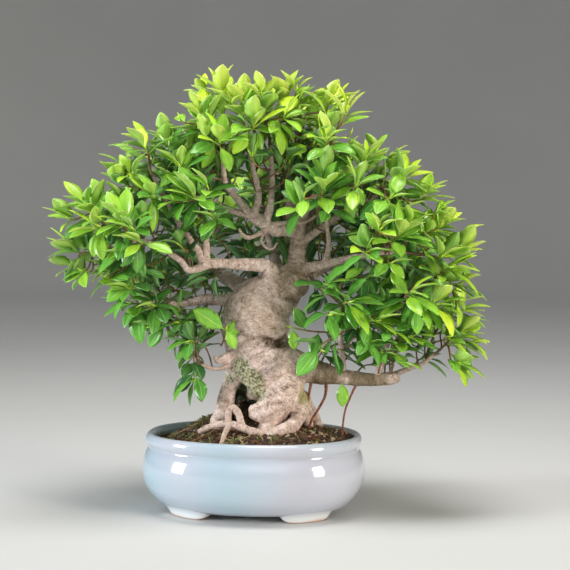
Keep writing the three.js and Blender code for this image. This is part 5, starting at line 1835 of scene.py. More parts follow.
@dataclass
class Wood:
    """Trunk, roots and limbs: tubes through the control points, melted together and given bark relief."""

    tree: TreeFrame
    voxel: float = 1.2
    path_step: float = 2.5
    tube_sides: int = 24
    softening: tuple[float, int] = (0.5, 5)
    thin_limb: float = 2.8
    overlap: float = 0.25
    slim_only: float = 4.4
    twig_step: float = 1.3
    twig_sides: int = 12
    twig_wider: float = 0.08
    lumps: Layer = Layer(1.4, 17.0, 11, 3)
    flutes: Layer = Layer(0.8, 8.0, 23, 2, (0.3, 1.0))
    wrinkles: Layer = Layer(0.5, 8.0, 41, 3, (3.0, 1.0))
    creases: Layer = Layer(0.4, 10.0, 37, 3, (2.6, 1.0))
    pebbles: Layer = Layer(0.26, 2.9, 51, 2)
    nodes: Layer = Layer(0.3, 11.0, 61, 2, (1.0, 0.2))
    crease_width: float = 0.12
    # The radius from which a limb bears broad or fine relief in full, and the share left on thin ones.
    broad_relief: Pair = (28.0, 0.12)
    fine_relief: Pair = (20.0, 0.35)
    nodes_fade: Pair = (8.0, 15.0)
    youth_fades: Pair = (1.6, 6.5)
    youngest: float = 0.6
    crust_coarser: float = 3.0
    knuckle_every: float = 15.0
    knuckle_height: float = 0.13
    grain_height: float = 0.12
    grain_width: float = 2.4
    # What covers the bark: the patches of each cover, by the attribute that its material reads.
    patches: ClassVar[dict[str, tuple[Patch, ...]]] = {
        # Darker and greyer on the upper bulge, the pruned knob and the neck; painted shade on the low right
        # limb under the leaves and in the fold under the belly.
        "weathering_and_shade": (
            Patch((2, -26, 200), 46, 0.7), Patch((40, -8, 230), 34, 0.9), Patch((44, 4, 270), 30, 0.7),
            Patch((74, -12, 140), 34), Patch((112, -14, 137), 36), Patch((26, -20, 176), 12),
        ),
        "lichen": (
            Patch((-10, -26, 147), 17, 1.5), Patch((-2, -30, 136), 18, 1.7), Patch((2, -31, 122), 13, 1.6),
            Patch((-22, -12, 136), 12), Patch((20, -28, 150), 18, 0.15),
        ),
        "algae": (Patch((47, -16, 120), 20, 0.8), Patch((56, 2, 96), 16, 0.6), Patch((30, -6, 92), 20, 0.5)),
        # Moss in the hollow and at its apex, partly painted shade; in the knot's bowl and on the low right
        # limb, painted shade only.
        "moss": (
            Patch((-12, -4, 118), 18, 2), Patch((-14, 6, 104), 20, 2), Patch((-2, -14, 106), 13, 1.6),
            Patch((-14, 28, 112), 26, 2), Patch((-12, -20, 125), 10, 1.3), Patch((15, -31, 174), 6, 0.4),
            Patch((72, -14, 134), 20, 0.5), Patch((108, -16, 134), 22, 0.5),
        ),
    }
    # Balls that the trunk swells by: its belly over the waist, and the knob of a limb that was pruned.
    swellings: tuple[tuple[float, float, float, float], ...] = (
        (6.0, -8.5, 190.0, 30.0), (41.0, -9.0, 228.0, 13.5),
    )
    # Folds of the skin: depth, half width and the line that each follows, in the tree's frame.
    folds: tuple[tuple[float, float, Points], ...] = (
        (5.4, 3.7, [(37, -4, 179), (31, -20, 173), (20, -30, 172), (10, -34, 176), (2, -35, 176)]),
        (1.6, 2.6, [(2, -35, 176), (-8, -33, 172), (-20, -26, 166), (-28, -16, 166)]),
        (2.4, 3.2, [(46, -12, 134), (36, -30, 130), (26, -34, 127), (15, -32, 122), (7, -27, 117),
                    (-3, -27, 110)]),
        (1.6, 2.4, [(40, -12, 150), (47, -8, 140), (50, -2, 128)]),
        (3.0, 2.8, [(52, -6, 214), (42, -16, 213), (30, -22, 216), (24, -22, 224), (26, -18, 234)]),
        (2.0, 2.4, [(25, -42, 114), (14, -42.5, 112.5), (4, -41.5, 109), (-6, -35, 102)]),
        (1.0, 1.8, [(31, -38, 109), (23, -42, 105), (14, -42, 100), (8, -40, 96)]),
        (5.5, 4.6, [(-14, -22, 134), (-12, -22, 127), (-13, -19, 119), (-14, -14, 110)]),
    )
    # A fold's line may lie a little in front of the skin or behind it, so depth counts less.
    fold_weights: Triple = (1.0, 0.4, 1.0)
    fold_reach: float = 60.0
    fold_ends: Pair = (0.08, 0.84)
    knot_at: Triple = (15.0, -32.0, 174.0)
    knot_radius: float = 6.6
    knot_depth: float = 3.4
    collar_at: float = 1.25
    collar_height: float = 0.7
    collar_width: float = 2.2
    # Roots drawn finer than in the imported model.
    finer: ClassVar[dict[str, Points]] = {
        "left_leg": [(-10, -2, 148, 16), (-20, -5, 131, 11.5), (-26, -8, 116, 10), (-30, -11, 102, 9.2),
                     (-35, -13, 88, 8), (-38, -14, 72, 7)],
        "front_heel": [(26, -12, 112, 15), (22, -20, 100, 12), (14, -29, 90, 9), (9, -34, 81, 7.5),
                       (7, -36, 72, 7)],
        "under_ring": [(46, -4, 118, 10), (46, -18, 103, 7.8), (39, -31, 92, 6.8), (28, -38, 87, 6.2),
                       (18, -40, 83, 5.6), (11, -41, 74, 5)],
        "right_toe": [(42, 2, 116, 9), (48, 0, 104, 6.4), (52, -1, 95, 6), (55, -2, 87, 5), (57, -3, 72, 3)],
        "arch": [(-23, -33, 88, 3.1), (-24.5, -35, 102, 3.1), (-20.5, -36, 109.5, 3.2),
                 (-14.5, -36, 103, 3.4), (-11, -37, 91, 3.6)],
        "runner": [(-54, -33, 84, 2.8), (-42, -36, 90.5, 3.1), (-27, -38, 93.5, 3.6), (-14, -39, 91, 3.8),
                   (-3, -40, 87, 4), (6, -40, 84, 4.4), (14, -38, 81, 5)],
    }

    def build(self) -> list[Object]:
        """Make the wood and let it stand for the node.

        Returns:
            The thick wood, the thin twigs and roots, and the aerial roots.
        """
        bark = BanyanBark().material()
        thick, thin, aerial = self.split_paths()
        self.axes = LimbAxes.of_paths([self.placed(path) for path in thick + thin])
        pieces = [
            self.melted(thick, bark), self.tubes("twigs_and_thin_roots", thin, bark),
            self.tubes("aerial_roots", aerial, AerialRootBark().material()),
        ]
        for piece in pieces:
            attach(piece, ROOT_BODY)
            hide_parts("wood")
        return pieces

    def placed(self, path: Array) -> Array:
        """A path's points and radii, in the model's frame."""
        return np.column_stack([self.tree.place(path[:, :3]), path[:, 3]])

    def split_paths(self) -> tuple[list[Array], list[Array], list[Array]]:
        """Smooth paths of all limbs: thick stretches, thin ones that overlap them a little, and aerial roots.

        Returns:
            The three lists.
        """
        thick, thin, aerial = [], [], []
        named = {"trunk": TRUNK, **ROOTS, **LIMBS, **STUBS, **self.finer}
        for name, points in named.items():
            path = smooth_path(points, self.path_step)
            if max(point[3] for point in points) < self.slim_only:
                (aerial if name.startswith("aerial") else thin).append(smooth_path(points, self.twig_step))
                continue
            slim = np.nonzero(path[:, 3] < self.thin_limb)[0]
            end = slim[0] if len(slim) else len(path)
            thick.append(path[: end + 1])
            if len(slim):
                fine = smooth_path(points, self.twig_step)
                start = np.nonzero(fine[:, 3] < self.thin_limb + self.overlap)[0][0]
                thin.append(fine[start:])
        return thick, thin, aerial

    @staticmethod
    def ball(x: float, y: float, z: float, radius: float) -> Array:
        """A ball as a path (x, y, z, radius) up its axis: the radius times the root of 1 less height squared.

        Args:
            x: its middle's place to the right.
            y: to the back.
            z: its height.
            radius: its radius.
        Returns:
            The path's rows.
        """
        height = np.linspace(-0.99, 0.99, 19)
        thick = radius * np.sqrt(1 - height**2)
        return np.column_stack([x + 0 * height, y + 0 * height, z + radius * height, thick])

    def melted(self, paths: list[Array], bark: Material) -> Object:
        """The thick wood: closed tubes, remeshed into one skin, smoothed, and displaced.

        Args:
            paths: smooth paths of its limbs.
            bark: its material.
        Returns:
            The new object.
        """
        parts = MeshParts()
        for path in paths + [self.ball(*swelling) for swelling in self.swellings]:
            parts.add(*sweep(self.tree.place(path[:, :3]), path[:, 3], self.tube_sides))
        rough = parts.to_object("rough_wood", [])
        remesh = rough.modifiers.new("one_skin", "REMESH")
        remesh.mode = "VOXEL"
        remesh.voxel_size = self.voxel * MM
        remesh.use_smooth_shade = True
        smooth = rough.modifiers.new("soft_joins", "SMOOTH")
        smooth.factor, smooth.iterations = self.softening
        mesh = evaluated_mesh(rough)
        bpy.data.objects.remove(rough)
        mesh.name = "trunk_and_limbs"
        mesh.materials.clear()
        mesh.materials.append(bark)
        self.displace(mesh)
        return linked("trunk_and_limbs", mesh)

    def displace(self, mesh: Mesh) -> None:
        """Push the skin in and out along its normals, and note where it is creased, overgrown or young; the
        crease share paints shade and highlight, and some covers paint shade.

        Args:
            mesh: the skin, whose vertices are moved.
        """
        count = len(mesh.vertices)
        points = np.empty(count * 3, dtype=np.float32)
        normals = np.empty(count * 3, dtype=np.float32)
        mesh.vertices.foreach_get("co", points)
        mesh.vertex_normals.foreach_get("vector", normals)
        points = points.reshape(-1, 3).astype(float) / MM
        normals = normals.reshape(-1, 3).astype(float)
        chosen = self.axes.nearest(points)
        radius = self.axes.rows[chosen, self.axes.RADIUS]
        spot = self.axes.coordinates(points, chosen)
        values = self.covers(points)
        height, values["relief"] = self.relief(points, spot, radius, values)
        values["youth"] = self.youth(radius)
        values["round_limb"] = spot * MM
        moved = (points + normals * height[:, None]) * MM
        mesh.vertices.foreach_set("co", moved.astype(np.float32).ravel())
        for name, rows in values.items():
            store_attribute(mesh, name, rows)
        mesh.update()

    def youth(self, radius: Array) -> Array:
        """How young the bark is on a limb of each radius: youngest on twigs, old on thick limbs."""
        return self.youngest * (1.0 - smoothstep(*self.youth_fades, radius))

    def covers(self, points: Array) -> dict[str, Array]:
        """How strongly each cover lies on each place: the strongest of its patches, by attribute name.

        Args:
            points: places, one row each.
        Returns:
            A strength for each place, by attribute name.
        """
        return {
            name: np.max([patch.cover(points, self.tree) for patch in patches], axis=0)
            for name, patches in self.patches.items()
        }

    def fold_depth(self, points: Array) -> Array:
        """How deep the folds are at each place: the depth times e to the minus square of distance over width.

        Args:
            points: places, one row each.
        Returns:
            A depth for each.
        """
        depth = np.zeros(len(points))
        for deepest, width, line in self.folds:
            path = self.tree.place(smooth_path(line, 1.0)[:, :3])
            near = np.nonzero(norm(points - path.mean(axis=0), axis=1) < self.fold_reach)[0]
            squares = (((points[near, None] - path[None]) * self.fold_weights) ** 2).sum(axis=2)
            least, where = squares.min(axis=1), squares.argmin(axis=1)
            taper = np.sin(math.pi * (self.fold_ends[0] + self.fold_ends[1] * where / (len(path) - 1)))
            depth[near] = np.maximum(depth[near], deepest * taper * np.exp(-least / width**2))
        return depth

    def relief(
        self, points: Array, spot: Array, radius: Array, covers: dict[str, Array],
    ) -> tuple[Array, Array]:
        """How far the bark stands out at each place, in millimetres.

        The sum of broad lumps, flutes drawn out along the limb, wrinkles and narrow creases round it, fine
        pebbles that lichen makes coarser and swollen nodes along thin limbs, less folds and the knot's bowl.

        Args:
            points: places on the skin.
            spot: the same in coordinates along and round the limb.
            radius: the limb's radius there.
            covers: how strongly each cover lies there, by name.
        Returns:
            The height, and a share from 0 in creases, folds and the knot's bowl to 1 on crests, which the
            bark material turns into painted shade and painted highlight.
        """
        size, share = (
            np.clip(radius / full, least, 1.0) for full, least in (self.broad_relief, self.fine_relief)
        )
        lumps = self.lumps.at(points) * self.lumps.height * size
        flutes = self.flutes.at(spot) * self.flutes.height * size
        wrinkle = self.wrinkles.at(spot)
        shaded_crease = 1.0 - smoothstep(0.0, self.crease_width, np.abs(self.creases.at(spot)))
        pebble = self.pebbles.at(points)
        fold = self.fold_depth(points)
        away = norm(points - self.tree.place(np.array(self.knot_at)), axis=1)
        bowl = 1.0 - smoothstep(0.0, self.knot_radius, away)
        collar = np.exp(-(((away - self.collar_at * self.knot_radius) / self.collar_width) ** 2))
        swollen = np.maximum(self.nodes.at(spot), 0.0)
        nodes = self.nodes.height * swollen * radius * (1.0 - smoothstep(*self.nodes_fade, radius))
        height = lumps + flutes + (self.wrinkles.height * wrinkle - self.creases.height * shaded_crease) * share
        height += self.pebbles.height * pebble * share * (1.0 + self.crust_coarser * covers["lichen"])
        height += nodes + self.collar_height * collar - fold - self.knot_depth * bowl
        # Painted shade and highlight: this share darkens the bark in creases, folds and the knot's bowl and
        # lightens it on raised wrinkles and pebbles.
        fine = 0.6 + 0.5 * wrinkle - 0.22 * shaded_crease + 0.3 * pebble + 0.1 * lumps - 0.17 * fold - 0.6 * bowl
        return height, np.clip(fine, 0.0, 1.0)

    def tubes(self, name: str, paths: list[Array], bark: Material) -> Object:
        """Thin limbs and roots: tubes with rings, knuckles and grain worked into their radius.

        Args:
            name: the object's name.
            paths: smooth paths of their middle lines.
            bark: their material.
        Returns:
            The new object.
        """
        parts = MeshParts()
        for number, path in enumerate(paths):
            centres = self.tree.place(path[:, :3])
            vertices, faces = sweep(centres, path[:, 3] + self.twig_wider, self.twig_sides)
            axes = LimbAxes.of_paths([np.column_stack([centres, path[:, 3]])])
            spot = axes.about(vertices, np.repeat(np.arange(len(path)), self.twig_sides))
            outward = unit(vertices - np.repeat(centres, self.twig_sides, axis=0))
            radius = np.repeat(path[:, 3], self.twig_sides)
            swells = 2 * math.pi * (spot[:, 0] / self.knuckle_every + 0.37 * number)
            knuckle = np.clip(np.cos(swells), 0, 1) ** 8
            grain = noise(vertices, self.grain_width, 90 + number, 2)
            height = radius * (self.knuckle_height * knuckle + self.grain_height * grain)
            parts.add(
                vertices + outward * height[:, None], faces, relief=np.clip(0.55 + 0.4 * grain, 0, 1),
                youth=self.youth(radius), round_limb=spot * MM, **dict.fromkeys(self.patches, 0.0),
            )
        return parts.to_object(name, [bark])


@dataclass
class GlazedPot:
    """The oval pot: a bellied wall with a rolled rim, and four feet that continue it to the table."""

    squareness: float = 2.15
    sectors: int = 176
    profile_step: float = 1.4
    drain_radius: float = 8.0
    drain_offset: float = 46.0
    drain_sides: int = 40
    drilled_between: Pair = (2.0, 30.0)
    foot_gap_front: float = 66.0
    foot_gap_side: float = 48.0
    foot_steps: int = 22
    foot_middle: float = 24.0
    foot_top: float = 12.5
    foot_drawn_to: float = 30.0
    foot_drawn_by: float = 0.35
    # Heights between which the feet are painted whiter as painted light, and their rubbed undersides bare.
    footed_from: Pair = (15.0, 3.0)
    rubbed_from: Pair = (0.3, 5.0)
    # The lip, where glaze drew back: its place and reach as inset and height, and how thin the glaze is.
    lip_at: Pair = (7.8, 80.0)
    lip_reach: Pair = (2.4, 1.5)
    lip_thin: float = 0.22
    outside: Points = field(default_factory=lambda: [
        (24, 7.5), (17.5, 10.5), (11.8, 15.5), (6.2, 22), (2.4, 29), (0.6, 37), (0.2, 45), (1.0, 53),
        (3.0, 60), (5.6, 65), (6.0, 66.8), (4.9, 68.4), (3.9, 70.6), (3.3, 73.6), (3.9, 76.6), (5.6, 79.0),
        (7.8, 80.0),
    ])
    inside: Points = field(default_factory=lambda: [
        (9.8, 79.4), (11.4, 77.2), (12.2, 73.5), (11.6, 66), (8.6, 50), (8.2, 42), (9.8, 30), (16, 20.5),
        (26, 15.5), (34, 14.0),
    ])
    foot_section: Points = field(default_factory=lambda: [
        (11.5, 17.5), (15.8, 12.0), (19.8, 7.5), (22.6, 3.4), (24.0, 1.2), (26.0, 0.0), (33.5, 0.0),
        (36.0, 1.4), (38.5, 6.0), (40.5, 13.0), (30.0, 16.0),
    ])

    def __post_init__(self) -> None:
        """Take the oval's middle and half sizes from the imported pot."""
        low, high = in_millimetres(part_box("pot"))
        self.middle = (low + high)[:2] / 2
        self.half = (high - low)[:2] / 2

    def oval(self, insets: Array, heights: Array, angles: Array) -> Array:
        """Points of the pot's oval plan: cosine and sine of the angle, each to the power 2 over squareness.

        Args:
            insets: how far each is drawn in from the widest outline.
            heights: their heights.
            angles: their angles.
        Returns:
            The points, in the model's frame.
        """
        power = 2 / self.squareness
        x = (self.half[0] - insets) * np.sign(np.cos(angles)) * np.abs(np.cos(angles)) ** power
        y = (self.half[1] - insets) * np.sign(np.sin(angles)) * np.abs(np.sin(angles)) ** power
        return np.stack(np.broadcast_arrays(x + self.middle[0], y + self.middle[1], heights), axis=-1)

    def plan(self, inset: float, angles: Array) -> Array:
        """Places about the pot's middle on the oval that is drawn in by an inset."""
        return self.oval(np.full(len(angles), inset), np.zeros(len(angles)), angles)[:, :2] - self.middle

    def even_angles(self, count: int) -> Array:
        """Angles that step evenly along the outline, found from its own arc length.

        Args:
            count: how many.
        Returns:
            The angles, from 0 on.
        """
        fine = np.linspace(0.0, 2 * math.pi, 4001)
        gone = length_before(self.plan(0.0, fine))
        return np.interp(np.linspace(0.0, gone[-1], count, endpoint=False), gone, fine)

    def build(self) -> Object:
        """Make the pot and let it stand for its node.

        Returns:
            The new object.
        """
        parts = MeshParts()
        angles = self.even_angles(self.sectors)
        profile = np.vstack([smooth_path(line, self.profile_step) for line in (self.outside, self.inside)])
        rings = self.oval(profile[:, :1], profile[:, 1:], angles[None, :])
        thin = self.lip_thin * np.exp(-(((profile - self.lip_at) / self.lip_reach) ** 2).sum(axis=1))
        faces = tube_faces(len(profile), self.sectors)
        parts.add(rings.reshape(-1, 3), faces, thin=np.repeat(thin, self.sectors))
        for side_x in (-1, 1):
            for side_y in (-1, 1):
                self.add_foot(parts, side_x, side_y)
        materials = [PaleGlaze().material(), BARE_STONEWARE.material()]
        whole = parts.to_object("glazed_pot", materials)
        self.bore_drains(whole, materials)
        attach(whole, ROOT_BODY)
        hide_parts("pot")
        return whole

    def add_foot(self, parts: MeshParts, side_x: int, side_y: int) -> None:
        """One foot: its section carried round a corner of the oval, and rounded up to the pot at both ends.

        The section's low points rise by the sixth power of the way from the foot's middle to its end.

        Args:
            parts: the mesh that it joins.
            side_x: 1 for the right feet, -1 for the left.
            side_y: 1 for the back feet, -1 for the front.
        """
        section = smooth_path(self.foot_section, self.profile_step)
        fine = np.linspace(0.02, math.pi / 2 - 0.02, 800)
        outline = self.plan(self.foot_middle, fine)
        past_gaps = (outline[:, 0] > self.foot_gap_front / 2) & (outline[:, 1] > self.foot_gap_side / 2)
        first, last = fine[past_gaps][0], fine[past_gaps][-1]
        way = np.linspace(-1.0, 1.0, self.foot_steps)
        way = np.sign(way) * (1 - (1 - np.abs(way)) ** 1.5)
        angles = (first + last) / 2 + way * (last - first) / 2
        rise = np.abs(way[:, None]) ** 6
        inset, height = section.T[:, None]
        heights = height + (self.foot_top - height) * rise * (height < self.foot_top)
        insets = inset + (self.foot_drawn_to - inset) * self.foot_drawn_by * rise
        middle = np.r_[self.middle, 0.0]
        sides = np.array([side_x, side_y, 1])
        rings = (self.oval(insets, heights, angles[:, None]) - middle) * sides + middle
        worn = (1.0 - smoothstep(*self.rubbed_from, heights + 0.8 * np.sin(5 * way[:, None]))).ravel()
        # Painted light: the feet whiter towards the table.
        footed = smoothstep(*self.footed_from, heights).ravel()
        turned = -1 if side_x * side_y > 0 else 1
        faces = [block[:, ::turned] for block in tube_faces(self.foot_steps, len(section))]
        parts.add(rings.reshape(-1, 3), faces, thin=worn, footed=footed)

    def bore_drains(self, pot: Object, materials: list[Material]) -> None:
        """Cut the two drain holes through the floor, their walls of the second material.

        Args:
            pot: the pot, whose mesh is replaced.
            materials: glaze, and bare clay for the holes.
        """
        drills = MeshParts()
        for side in (-1, 1):
            at = np.array([self.middle[0] + side * self.drain_offset, self.middle[1], 0.0])
            path = at + np.outer(self.drilled_between, UP)
            drills.add(*sweep(path, np.full(2, self.drain_radius), self.drain_sides), 1, thin=1.0)
        drill = drills.to_object("drills", materials)
        cut = pot.modifiers.new("drains", "BOOLEAN")
        cut.operation, cut.solver, cut.object = "DIFFERENCE", "EXACT", drill
        bored = evaluated_mesh(pot)
        pot.modifiers.clear()
        old, pot.data = pot.data, bored
        bpy.data.meshes.remove(old)
        bpy.data.objects.remove(drill)


@dataclass
class Ground:
    """The soil and what lies and grows on it: crumbs of bark and grit, fine roots, and moss."""

    pot: GlazedPot
    rim_level: float = 71.0
    mound: float = 18.0
    trunk_at: float = 20.0
    lumps: tuple[Layer, ...] = (Layer(1.3, 13.0, 101, 3), Layer(0.7, 3.6, 103, 2))
    rings: int = 58
    sectors: int = 150
    wall: Points = field(default_factory=lambda: [(37, 14.35), (18.5, 20.9), (10, 43)])
    edge_inset: float = 12.6
    crumbs: int = 1300
    fine_roots: int = 54
    root_steps: int = 16
    least_root_steps: int = 6
    roots_about: Pair = (6.0, -4.0)
    roots_from: Pair = (18.0, 62.0)
    root_stride: Pair = (1.3, 3.2)
    root_thickness: Pair = (0.35, 0.85)
    root_lift: Pair = (0.2, 1.6)
    root_ends_sunk: float = 1.8
    moss_tufts: int = 210
    tuft_blades: int = 9
    tuft_spread: float = 1.5
    blade_height: Pair = (1.6, 4.4)
    blade_width: Pair = (0.35, 0.7)
    blade_lean: float = 0.35
    moss_on_left: float = 0.66
    # Mossy swells of the soil: height, middle and reach of each, about the pot's middle.
    swells: tuple[tuple[float, Pair, Pair], ...] = (
        (13.0, (-48, 4), (25, 30)), (24.0, (-8, 8), (15, 15)),
    )
    crumb_sizes: Pair = (0.45, 1.3)
    crumb_width: Pair = (0.35, 0.8)
    crumb_height: Pair = (0.22, 0.5)
    crumb_tilt: float = 0.35
    crumb_uneven: Pair = (0.75, 1.2)
    # Kinds of crumb: share of all, length and finish.
    crumb_kinds: tuple[tuple[float, float, MattGrain], ...] = (
        (0.56, 3.2, BARK_CHIPS), (0.15, 2.8, BARK_DUST), (0.24, 3.0, ROOT_FIBRE), (0.05, 1.6, PUMICE),
    )

    def height(self, x: Array, y: Array) -> Array:
        """Soil level: a mound round the trunk, mossy swells to its left and under it, and lumps.

        Args:
            x: places to the right of the pot's middle.
            y: places behind it.
        Returns:
            Heights in millimetres.
        """
        off = np.hypot((x - self.trunk_at) / self.pot.half[0], y / self.pot.half[1])
        mounded = self.rim_level + self.mound * np.maximum(0.0, 1 - off * off) ** 1.5
        swell = sum(
            high * np.exp(-(((x - at_x) / reach_x) ** 2) - ((y - at_y) / reach_y) ** 2)
            for high, (at_x, at_y), (reach_x, reach_y) in self.swells
        )
        places = np.stack([x, y, 0 * x], axis=-1).reshape(-1, 3)
        lumps = sum(layer.height * layer.at(places) for layer in self.lumps)
        return mounded + swell + lumps.reshape(np.shape(x))

    def build(self) -> list[Object]:
        """Make the soil and everything on it.

        Returns:
            The new objects.
        """
        soil = self.soil()
        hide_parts("soil")
        pieces = [soil, self.crumbs_piece(), self.roots_piece(), self.moss_piece()]
        for piece in pieces:
            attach(piece, ROOT_BODY)
        return pieces

    def soil(self) -> Object:
        """The block of soil: the pot's oval, drawn in ring by ring to the middle of its top.

        Returns:
            The new object.
        """
        angles = self.pot.even_angles(self.sectors)
        wall = np.array([*self.wall, (self.edge_inset, self.rim_level - 3.0)], dtype=float)
        side = self.pot.oval(wall[:, :1], wall[:, 1:], angles[None, :])
        share = np.linspace(1.0, 0.02, self.rings)[:, None]
        plan = share[..., None] * self.pot.plan(self.edge_inset, angles)[None]
        level = self.height(plan[..., 0], plan[..., 1])
        top = np.concatenate([plan + self.pot.middle, level[..., None]], axis=-1)
        rings = np.concatenate([side, top])
        parts = MeshParts()
        parts.add(rings.reshape(-1, 3), tube_faces(len(rings), self.sectors))
        return parts.to_object("potting_soil", [POTTING_SOIL.material()])

    def scatter(self, count: int, seed: int, reach: float = 0.96) -> tuple[Array, np.random.Generator]:
        """Places spread over the soil, with the generator that goes on with their draws.

        Args:
            count: how many.
            seed: which spread.
            reach: how near the wall they come, as a share.
        Returns:
            Places about the pot's middle, and the generator.
        """
        rng = np.random.default_rng(seed)
        angle, share = rng.uniform(0, 2 * math.pi, count), reach * np.sqrt(rng.uniform(0, 1, count))
        return self.pot.plan(self.edge_inset, angle) * share[:, None], rng

    def to_wall(self, plan: Array, margin: float) -> Array:
        """0 at the pot's middle and 1 a margin inside the soil's edge, by the formula of the oval."""
        return (np.abs(plan / (self.pot.half - self.edge_inset - margin)) ** self.pot.squareness).sum(axis=1)

    def on_soil(self, plan: Array, lift: Array | float = 0.0) -> Array:
        """Places on the soil, in the model's frame."""
        return np.column_stack([plan + self.pot.middle, self.height(plan[:, 0], plan[:, 1]) + lift])

    def crumbs_piece(self) -> Object:
        """Chips of bark and grains of grit: twenty-sided lumps, stretched, flattened and turned at random.

        Returns:
            The new object.
        """
        plan, rng = self.scatter(self.crumbs, 7)
        count = len(plan)
        golden = (1 + 5**0.5) / 2
        corners = np.array([(0, a, b * golden) for a in (-1, 1) for b in (-1, 1)], dtype=float)
        corners = unit(np.vstack([np.roll(corners, turn, axis=1) for turn in range(3)]))
        faces = hull_faces(corners)
        shares, lengths, finishes = zip(*self.crumb_kinds)
        kind = rng.choice(len(shares), count, p=shares)
        long = np.array(lengths)[kind] * rng.uniform(*self.crumb_sizes, count)
        wide, high = (long * rng.uniform(*share, count) for share in (self.crumb_width, self.crumb_height))
        scale = np.stack([long, wide, high], axis=1)
        heading = rng.uniform(0, 2 * math.pi, count)
        turned = turns(heading, *(rng.normal(0, self.crumb_tilt, count) for _ in range(2)))
        lumps = corners[None] * scale[:, None] * rng.uniform(*self.crumb_uneven, (count, len(corners), 1))
        lumps = np.einsum("nij,nkj->nki", turned, lumps) + self.on_soil(plan, 0.35 * scale[:, 2])[:, None]
        parts = MeshParts()
        for slot in range(len(finishes)):
            chosen = lumps[kind == slot]
            parts.add(chosen.reshape(-1, 3), [repeated(faces, len(chosen), len(corners))], slot)
        return parts.to_object("soil_crumbs", [finish.material() for finish in finishes], smooth=False)

    def roots_piece(self) -> Object:
        """Fine roots that wander over the soil, most of them away from the trunk.

        Returns:
            The new object.
        """
        rng = np.random.default_rng(11)
        parts = MeshParts()
        for number in range(self.fine_roots):
            start_angle = rng.uniform(0, 2 * math.pi)
            way_out = np.array([math.cos(start_angle), 0.8 * math.sin(start_angle)])
            start = np.array(self.roots_about) + rng.uniform(*self.roots_from) * way_out
            bearing = start_angle + rng.normal(0, 0.7) + np.cumsum(rng.normal(0, 0.22, self.root_steps))
            stride = rng.uniform(*self.root_stride)
            plan = start + np.cumsum(stride * np.column_stack([np.cos(bearing), np.sin(bearing)]), axis=0)
            outside = self.to_wall(plan, 2.0) > 0.9
            plan = plan[: int(np.argmax(outside)) if outside.any() else self.root_steps]
            if len(plan) < self.least_root_steps:
                continue
            thick = rng.uniform(*self.root_thickness)
            arch = 0.9 * np.sin(np.linspace(0, math.pi, len(plan))) * rng.uniform(*self.root_lift)
            lift = thick * 0.6 + arch
            path = self.on_soil(plan, lift)
            path[[0, -1], 2] -= self.root_ends_sunk
            path = smooth_path([tuple(row) for row in path], 1.6)
            radii = thick * np.linspace(1.0, 0.5, len(path))
            parts.add(*sweep(path, radii, 6), number % 2)
        return parts.to_object("fine_roots", [DRY_ROOTS.material(), LIVING_ROOTS.material()])

    def moss_piece(self) -> Object:
        """Moss: tufts of narrow three-sided blades, thickest on the left of the pot.

        Returns:
            The new object.
        """
        plan, rng = self.scatter(self.moss_tufts, 13, 0.97)
        moved = rng.uniform(size=len(plan)) < self.moss_on_left
        plan[:, 0] = np.where(moved, -np.abs(plan[:, 0]) - 6, plan[:, 0])
        plan = plan[self.to_wall(plan, 1.0) < 0.97]
        count = len(plan) * self.tuft_blades
        near = np.repeat(plan, self.tuft_blades, axis=0) + rng.normal(0, self.tuft_spread, (count, 2))
        feet = self.on_soil(near, -0.4)
        tall = rng.uniform(*self.blade_height, count)
        lean = rng.normal(0, self.blade_lean, (count, 2))
        tips = feet + np.column_stack([lean * tall[:, None], tall])
        angles = np.radians([0, 120, 240]) + rng.uniform(0, 2, count)[:, None]
        wide = rng.uniform(*self.blade_width, count)[:, None]
        base = feet[:, None] + np.stack([wide * np.cos(angles), wide * np.sin(angles), 0 * angles], axis=-1)
        blades = np.concatenate([base, tips[:, None]], axis=1)
        faces = np.array([[0, 2, 1], [0, 1, 3], [1, 2, 3], [2, 0, 3]])
        parts = MeshParts()
        parts.add(blades.reshape(-1, 3), [repeated(faces, count, 4)])
        return parts.to_object("moss", [MOSS.material()])


def hull_faces(corners: Array) -> Array:
    """Triangles of a regular twenty-sided solid: every three corners that are all an edge apart.

    Args:
        corners: its twelve corners.
    Returns:
        Faces that turn outward.
    """
    apart = norm(corners[:, None] - corners[None], axis=2)
    near = apart < apart[apart > 0].min() * 1.1
    rows = np.argwhere(near[:, :, None] & near[None] & near[:, None])
    rows = rows[(rows[:, 0] < rows[:, 1]) & (rows[:, 1] < rows[:, 2])]
    first, second, third = corners[rows.T]
    outward = (np.cross(second - first, third - first) * first).sum(axis=1) > 0
    return np.where(outward[:, None], rows, rows[:, [0, 2, 1]])


def turns(about_z: Array, about_x: Array, about_y: Array) -> Array:
    """Rotation matrices: a turn about y, then about x, then about z.

    Args:
        about_z: angles in radians.
        about_x: the same, of the second turn.
        about_y: the same, of the first.
    Returns:
        A matrix for each angle.
    """
    def matrix(angle: Array, first: int, second: int) -> Array:
        """Rotation in the plane of two axes.

        Args:
            angle: angles in radians.
            first: one of the axes.
            second: the other.
        Returns:
            A matrix for each.
        """
        rows = np.broadcast_to(np.eye(3), (len(angle), 3, 3)).copy()
        rows[:, first, first] = rows[:, second, second] = np.cos(angle)
        rows[:, first, second], rows[:, second, first] = -np.sin(angle), np.sin(angle)
        return rows
    return matrix(about_z, 0, 1) @ matrix(about_x, 1, 2) @ matrix(about_y, 2, 0)


class Softbox(Enum):
    """The studio's lights: place in metres in the tree's frame, width, height, power, spread and colour."""

    KEY = ((-2.68, -0.9, 0.6), 0.7, 1.1, 10.0, 60.0, "#F1F8FF")
    SECOND = ((2.2, -1.65, 0.66), 0.6, 1.1, 6.2, 60.0, "#FFF4E8")
    TOP = ((0.1, -0.3, 1.9), 1.0, 0.9, 25.0, 180.0, "#FFFFFF")
    FILL = ((0.0, -2.2, 1.2), 1.6, 1.0, 4.0, 180.0, "#F8FAFF")


